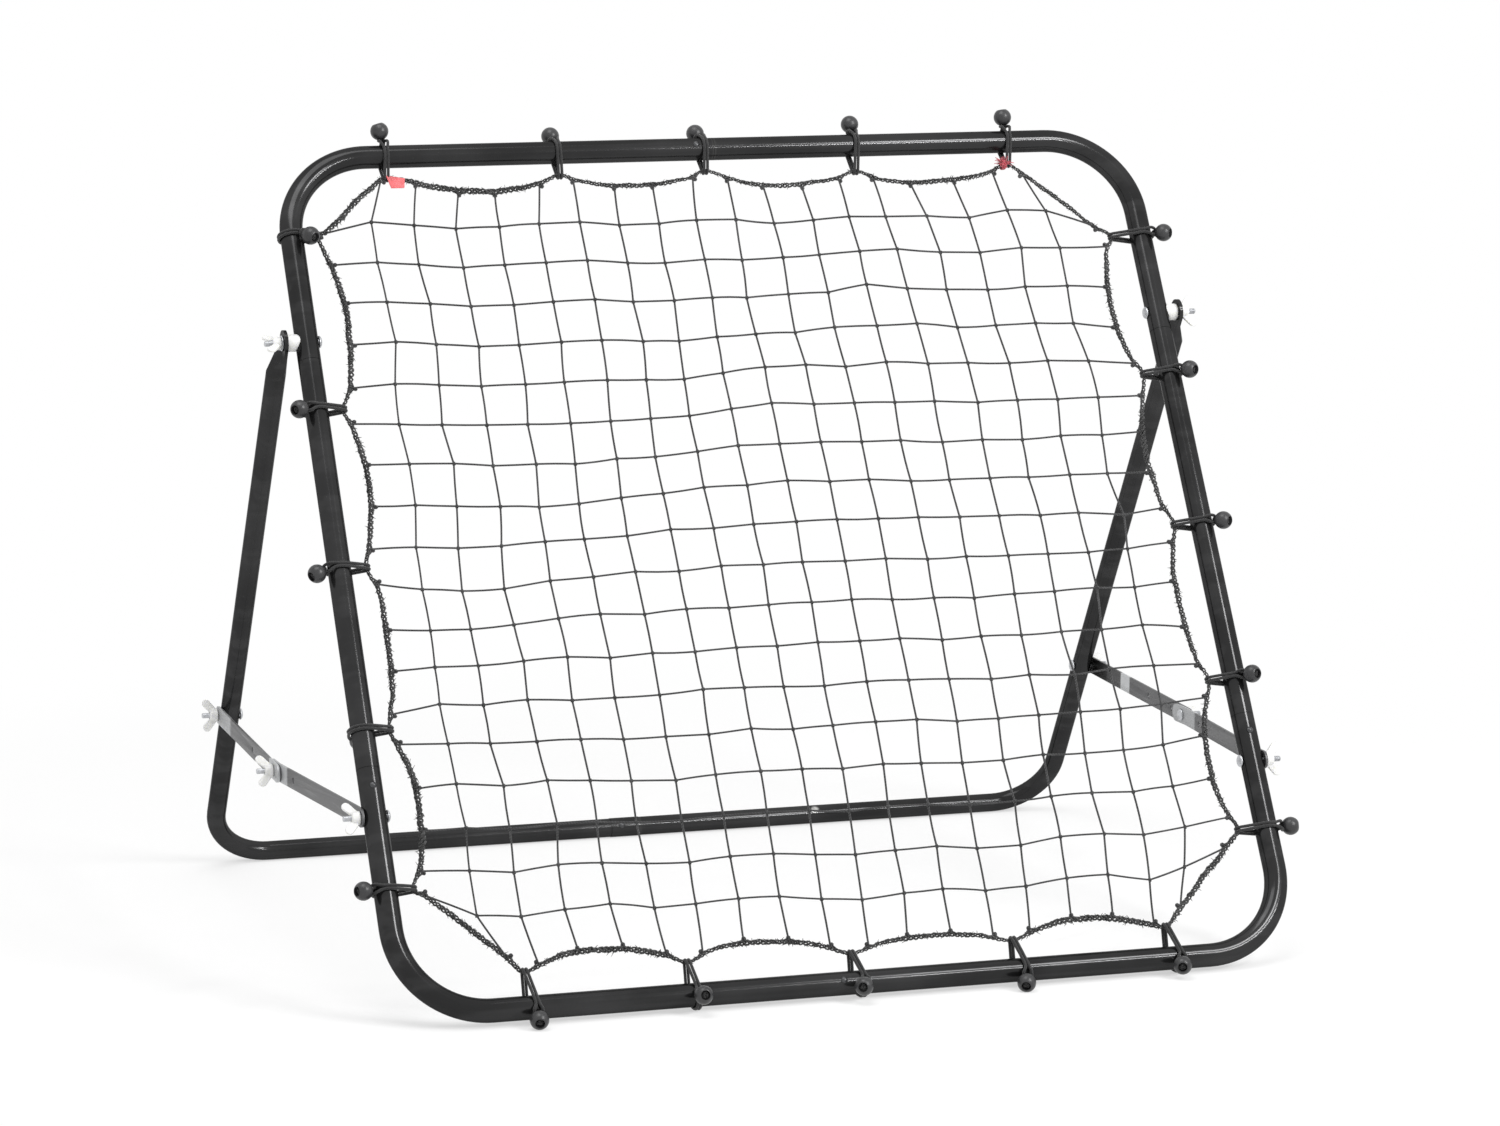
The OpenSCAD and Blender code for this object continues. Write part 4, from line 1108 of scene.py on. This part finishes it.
class RebounderSizes(bpy.types.PropertyGroup):
    rope: length_property("Rope", "Thickness of the border rope between two loops", 0.0068)
    lay: length_property("Rope lay", "Length in which the rope's strands turn once", 0.0165)
    strand: length_property("Strand", "Thickness of the net's strands", 0.0021)
    cord: length_property("Elastic cord", "Thickness of the loops' elastic cord", 0.0032)
    ball: length_property("Ball", "Diameter of the balls", 0.019)
    hub: length_property("Nut hub", "Diameter of a wing nut's hub", 0.014)
    head: length_property("Bolt head", "Diameter of a bolt's domed head", 0.013)
    ease: length_property("Eased edge", "Width of the eased edge of bars, washers and spacers", 0.0004)
    fibres: bpy.props.IntProperty(name="Fibres", description="Number of loose fibres on the rope",
                                  default=4200, min=0, max=9000)


class RebounderColours(bpy.types.PropertyGroup):
    paint: colour_property("Paint", "Colour of the tubes' powder coat", (0.032, 0.032, 0.0325))
    plate: colour_property("Plate", "Colour of the braces' dull plating", (0.115, 0.115, 0.118))
    # Bright plate is the colour of the braces' painted reflections; their drawn lines also lighten towards
    # it.
    bright: colour_property("Bright plate", "Colour of the braces' bright plating", (0.56, 0.57, 0.58))
    zinc: colour_property("Zinc", "Colour of bolts, washers and snap buttons", (0.55, 0.56, 0.58))
    nylon: colour_property("Nylon", "Colour of wing nuts and spacers", (0.84, 0.84, 0.825))
    net: colour_property("Net", "Colour of the net's strands", (0.035, 0.035, 0.036))
    rope: colour_property("Rope", "Colour of the border rope", (0.035, 0.035, 0.035))
    elastic: colour_property("Elastic", "Colour of the loops", (0.014, 0.014, 0.0145))
    ball: colour_property("Ball", "Colour of the balls", (0.030, 0.030, 0.0315))
    marker: colour_property("Marker", "Colour of the corner marker", (0.80, 0.15, 0.16))
    ribbon: colour_property("Ribbon", "Colour of the corner ribbon", (0.52, 0.03, 0.06))


# ---- Operators ----

class REBOUNDER_OT_tubes(bpy.types.Operator):
    """Gives the painted tubes their powder coat"""
    bl_idname = "rebounder.tubes"
    bl_label = "Painted tubes"

    def execute(self, context):
        repainted("_tube", black_paint(context.scene.rebounder_colours.paint[:]))
        return {"FINISHED"}


class REBOUNDER_OT_braces(bpy.types.Operator):
    """Makes the four brace bars with eased edges, and plating with painted reflections along them"""
    bl_idname = "rebounder.braces"
    bl_label = "Brace bars"

    def execute(self, context):
        sizes, colours = context.scene.rebounder_sizes, context.scene.rebounder_colours
        dull, light = colours.plate[:], colours.bright[:]
        # Spans of painted reflection along each bar, from its bolt: lighter where the bar mirrors the white
        # surroundings, and on the right rear bar darker near the leg where it mirrors the black leg.
        painted_reflections = {
            "left_front": (POST_BOLT, [(0.235, 0.32, 0.003, tone(light, 0.8))]),
            "right_front": (POST_BOLT, [(0.23, 0.32, 0.004, tone(light, 0.7))]),
            "left_rear": (LEG_BOLT, [(-0.02, 0.067, 0.006, tone(light, 0.72)),
                                     (0.2589, 0.326, 0.0012, tone(light, 0.85))]),
            "right_rear": (LEG_BOLT, [(-0.02, 0.053, 0.0012, tone(dull, 0.12)),
                                      (0.053, 0.094, 0.001, tone(dull, 0.5)), (0.094, 0.120, 0.0015, light)]),
        }
        for part, (start, spans) in painted_reflections.items():
            finish = brace_plate(f"{part}_plating", start, KNEE, spans, light, dull)
            bar = eased_copy(f"{part}_brace_bar", f"{part}_plated_bar", finish, sizes.ease)
            mounted(bar, f"{part}_brace", "brace_steel", f"{part}_brace_bar")
        return {"FINISHED"}


class REBOUNDER_OT_bolts(bpy.types.Operator):
    """Makes the domed bolts with threaded ends, the washers and the snap buttons' finish"""
    bl_idname = "rebounder.bolts"
    bl_label = "Bolts, washers and snap buttons"

    def execute(self, context):
        sizes, colours = context.scene.rebounder_sizes, context.scene.rebounder_colours
        finish = zinc(colours.zinc[:])

        def turn_bolts(profile, point, x, both, name, body, node):
            turned_set(profile, 28, [at_bolt(point, x, 0, side) for side in both], name, finish, body,
                       "zinc_steel", node, closed=False)

        for name, low, body in (("pivot", POST_HEAD_X, "front_frame"), ("post", POST_HEAD_X, "front_frame"),
                                ("leg", LEG_HEAD_X, "stand")):
            point, nut_x, _ = NUTS[name]
            turn_bolts(bolt_profile(nut_x + PAST_NUT - low, sizes.head), point, low, BOTH,
                       f"{name}_domed_bolts", body, f"{name}_bolts")
        root = 0.0025
        head_x, bolt_x = (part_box(f"right_knee_{end}")[0].x for end in ("head", "bolt"))
        head = bolt_profile(root, sizes.head)[:HEAD_POINTS] + [(0.003, root), (0.0005, root)]
        shank = [(0.0005, 0), (0.003, 0)]
        shank += bolt_profile(LEG_NUT_X + PAST_NUT - bolt_x, sizes.head)[HEAD_POINTS:]
        for side in BOTH:
            turn_bolts(head, KNEE, head_x + HEAD_H, (side,), f"{side}_knee_dome", f"{side}_front_brace",
                       f"{side}_knee_head")
            turn_bolts(shank, KNEE, bolt_x, (side,), f"{side}_knee_shank", f"{side}_rear_brace",
                       f"{side}_knee_bolt")
        mounted(eased_copy("pivot_washers", "pivot_flat_washers", finish, sizes.ease * 0.6), "front_frame",
                "zinc_steel", "pivot_washers")
        # The snap buttons take the zinc darkened to about a sixth of its colour.
        repainted("_snap_button", zinc(tone(colours.zinc[:], 0.16), "darkened_button_zinc"))
        return {"FINISHED"}


class REBOUNDER_OT_nuts(bpy.types.Operator):
    """Makes the eight wing nuts and the two spacers of white nylon"""
    bl_idname = "rebounder.nuts"
    bl_label = "Wing nuts and spacers"

    def execute(self, context):
        sizes, colours = context.scene.rebounder_sizes, context.scene.rebounder_colours
        finish = nylon(colours.nylon[:])
        master = wing_nut_master(sizes)
        for name, (point, x, turns) in NUTS.items():
            for side, turn in zip(BOTH, turns):
                nut = copied(master, at_bolt(point, x, turn + 90, side))
                mounted(settled(nut, f"{side}_{name}_moulded_nut", finish), f"{side}_{name}_wing_nut",
                        "white_plastic", f"{side}_{name}_wing_nut")
        discard(master)
        mounted(eased_copy("pivot_spacers", "pivot_saddle_spacers", finish, sizes.ease), "front_frame",
                "white_plastic", "pivot_spacers")
        return {"FINISHED"}


class REBOUNDER_OT_net(bpy.types.Operator):
    """Makes the knotted net"""
    bl_idname = "rebounder.net"
    bl_label = "Net"

    def execute(self, context):
        sizes, colours = context.scene.rebounder_sizes, context.scene.rebounder_colours
        finish = twisted("net_twine", colours.net[:], 0.006, 2, 0.35, 0.62, 0.0003)
        mounted(net_cords(sizes, random.Random("net")).piece("knotted_net", finish),
                "front_frame", "net_cord", "net")
        return {"FINISHED"}


class REBOUNDER_OT_rope(bpy.types.Operator):
    """Makes the laid border rope with its loose fibres"""
    bl_idname = "rebounder.rope"
    bl_label = "Border rope"

    def execute(self, context):
        sizes, colours = context.scene.rebounder_sizes, context.scene.rebounder_colours
        finish = twisted("rope_yarn", colours.rope[:], 0.011, 3, 0.5, 0.75, 0.0005)
        mounted(rope_cords(sizes, random.Random("rope")).piece("laid_border_rope", finish),
                "front_frame", "border_rope", "border_rope")
        return {"FINISHED"}


class REBOUNDER_OT_loops(bpy.types.Operator):
    """Makes the twenty elastic loops"""
    bl_idname = "rebounder.loops"
    bl_label = "Elastic loops"

    def execute(self, context):
        sizes, colours = context.scene.rebounder_sizes, context.scene.rebounder_colours
        finish = braided("elastic_jacket", colours.elastic[:])
        for side, ties in side_places().items():
            make_loops(side, ties, sizes, finish)
        return {"FINISHED"}


class REBOUNDER_OT_balls(bpy.types.Operator):
    """Makes the twenty balls with their recesses"""
    bl_idname = "rebounder.balls"
    bl_label = "Balls"

    def execute(self, context):
        sizes, colours = context.scene.rebounder_sizes, context.scene.rebounder_colours
        finish, lay = ball_plastic(colours.ball[:]), tube_lay(sizes.cord)
        for side, ties in side_places().items():
            turned_set(ball_profile(sizes.ball), 40, [tie.ball(lay) for tie in ties], f"{side}_turned_balls",
                       finish, "front_frame", "grey_plastic", f"{side}_balls")
        return {"FINISHED"}


class REBOUNDER_OT_corners(bpy.types.Operator):
    """Makes the flat marker and the knotted ribbon in the upper corners"""
    bl_idname = "rebounder.corners"
    bl_label = "Marker and ribbon"

    def execute(self, context):
        colours = context.scene.rebounder_colours
        ease, shift = 0.0003, (-0.0065, 0, 0)
        marker = eased_copy("corner_marker", "corner_tag", marker_plastic(colours.marker[:]), ease, shift)
        mounted(marker, "front_frame", "red_plastic", "corner_marker")
        finish = ribbon_yarn(colours.ribbon[:])
        mounted(ribbon_cords(random.Random("ribbon")).piece("corner_yarn_ribbon", finish),
                "front_frame", "red_ribbon", "corner_ribbon")
        return {"FINISHED"}


def area_lamp(name, place, aim, size, power):
    lamp = bpy.data.lights.new(name, "AREA")
    lamp.shape = "RECTANGLE"
    lamp.size, lamp.size_y = size
    lamp.energy = power
    made = bpy.data.objects.new(name, lamp)
    made.location = place
    made.rotation_euler = (Vector(aim) - Vector(place)).to_track_quat("-Z", "Y").to_euler()
    bpy.context.collection.objects.link(made)


class REBOUNDER_OT_stage(bpy.types.Operator):
    """Makes the floor, the light and the camera"""
    bl_idname = "rebounder.stage"
    bl_label = "Floor, light and camera"

    def execute(self, context):
        pick()
        bpy.ops.mesh.primitive_plane_add(size=60)
        settled(context.object, "floor", pale_floor())
        scene = context.scene
        scene.world = studio_world()

        area_lamp("front_strip", (1.9, -2.9, 2.1), (0.3, 0, 0.6), (1.6, 0.10), 44)
        area_lamp("upper_soft", (-0.7, -0.6, 3.6), (0, 0, 0.3), (2.0, 2.0), 42)
        corner, away = Vector((-0.40, 0.02, 0.75)), 3.2 * Vector((0.56, -0.63, 0.54))
        area_lamp("corner_soft", corner + away, corner, (0.7, 0.5), 22)

        lens = bpy.data.cameras.new("camera")
        lens.lens = 120.576
        lens.sensor_width = 36
        scene.camera = bpy.data.objects.new("camera", lens)
        scene.camera.location = (-1.59557, -4.98355, 1.25269)
        scene.camera.rotation_euler = [radians(turn) for turn in (80.5261, -0.1402, -17.7763)]
        bpy.context.collection.objects.link(scene.camera)
        scene.view_settings.view_transform = "Standard"
        return {"FINISHED"}


class REBOUNDER_PT_panel(bpy.types.Panel):
    bl_label = "Rebounder"
    bl_idname = "REBOUNDER_PT_panel"
    bl_space_type = "VIEW_3D"
    bl_region_type = "UI"
    bl_category = "Rebounder"

    def draw(self, context):
        layout = self.layout
        for group in (context.scene.rebounder_sizes, context.scene.rebounder_colours):
            column = layout.column()
            for key in group.__annotations__:
                column.prop(group, key)
        for operator in OPERATORS:
            layout.operator(operator.bl_idname)


OPERATORS = (REBOUNDER_OT_tubes, REBOUNDER_OT_braces, REBOUNDER_OT_bolts, REBOUNDER_OT_nuts,
             REBOUNDER_OT_net, REBOUNDER_OT_rope, REBOUNDER_OT_loops, REBOUNDER_OT_balls,
             REBOUNDER_OT_corners, REBOUNDER_OT_stage)
CLASSES = (RebounderSizes, RebounderColours, *OPERATORS, REBOUNDER_PT_panel)


def register():
    for cls in CLASSES:
        bpy.utils.register_class(cls)
    bpy.types.Scene.rebounder_sizes = bpy.props.PointerProperty(type=RebounderSizes)
    bpy.types.Scene.rebounder_colours = bpy.props.PointerProperty(type=RebounderColours)


def unregister():
    del bpy.types.Scene.rebounder_colours
    del bpy.types.Scene.rebounder_sizes
    for cls in reversed(CLASSES):
        bpy.utils.unregister_class(cls)


def main():
    register()
    for operator in OPERATORS:
        group, name = operator.bl_idname.split(".")
        getattr(getattr(bpy.ops, group), name)()


if __name__ == "__main__":
    main()
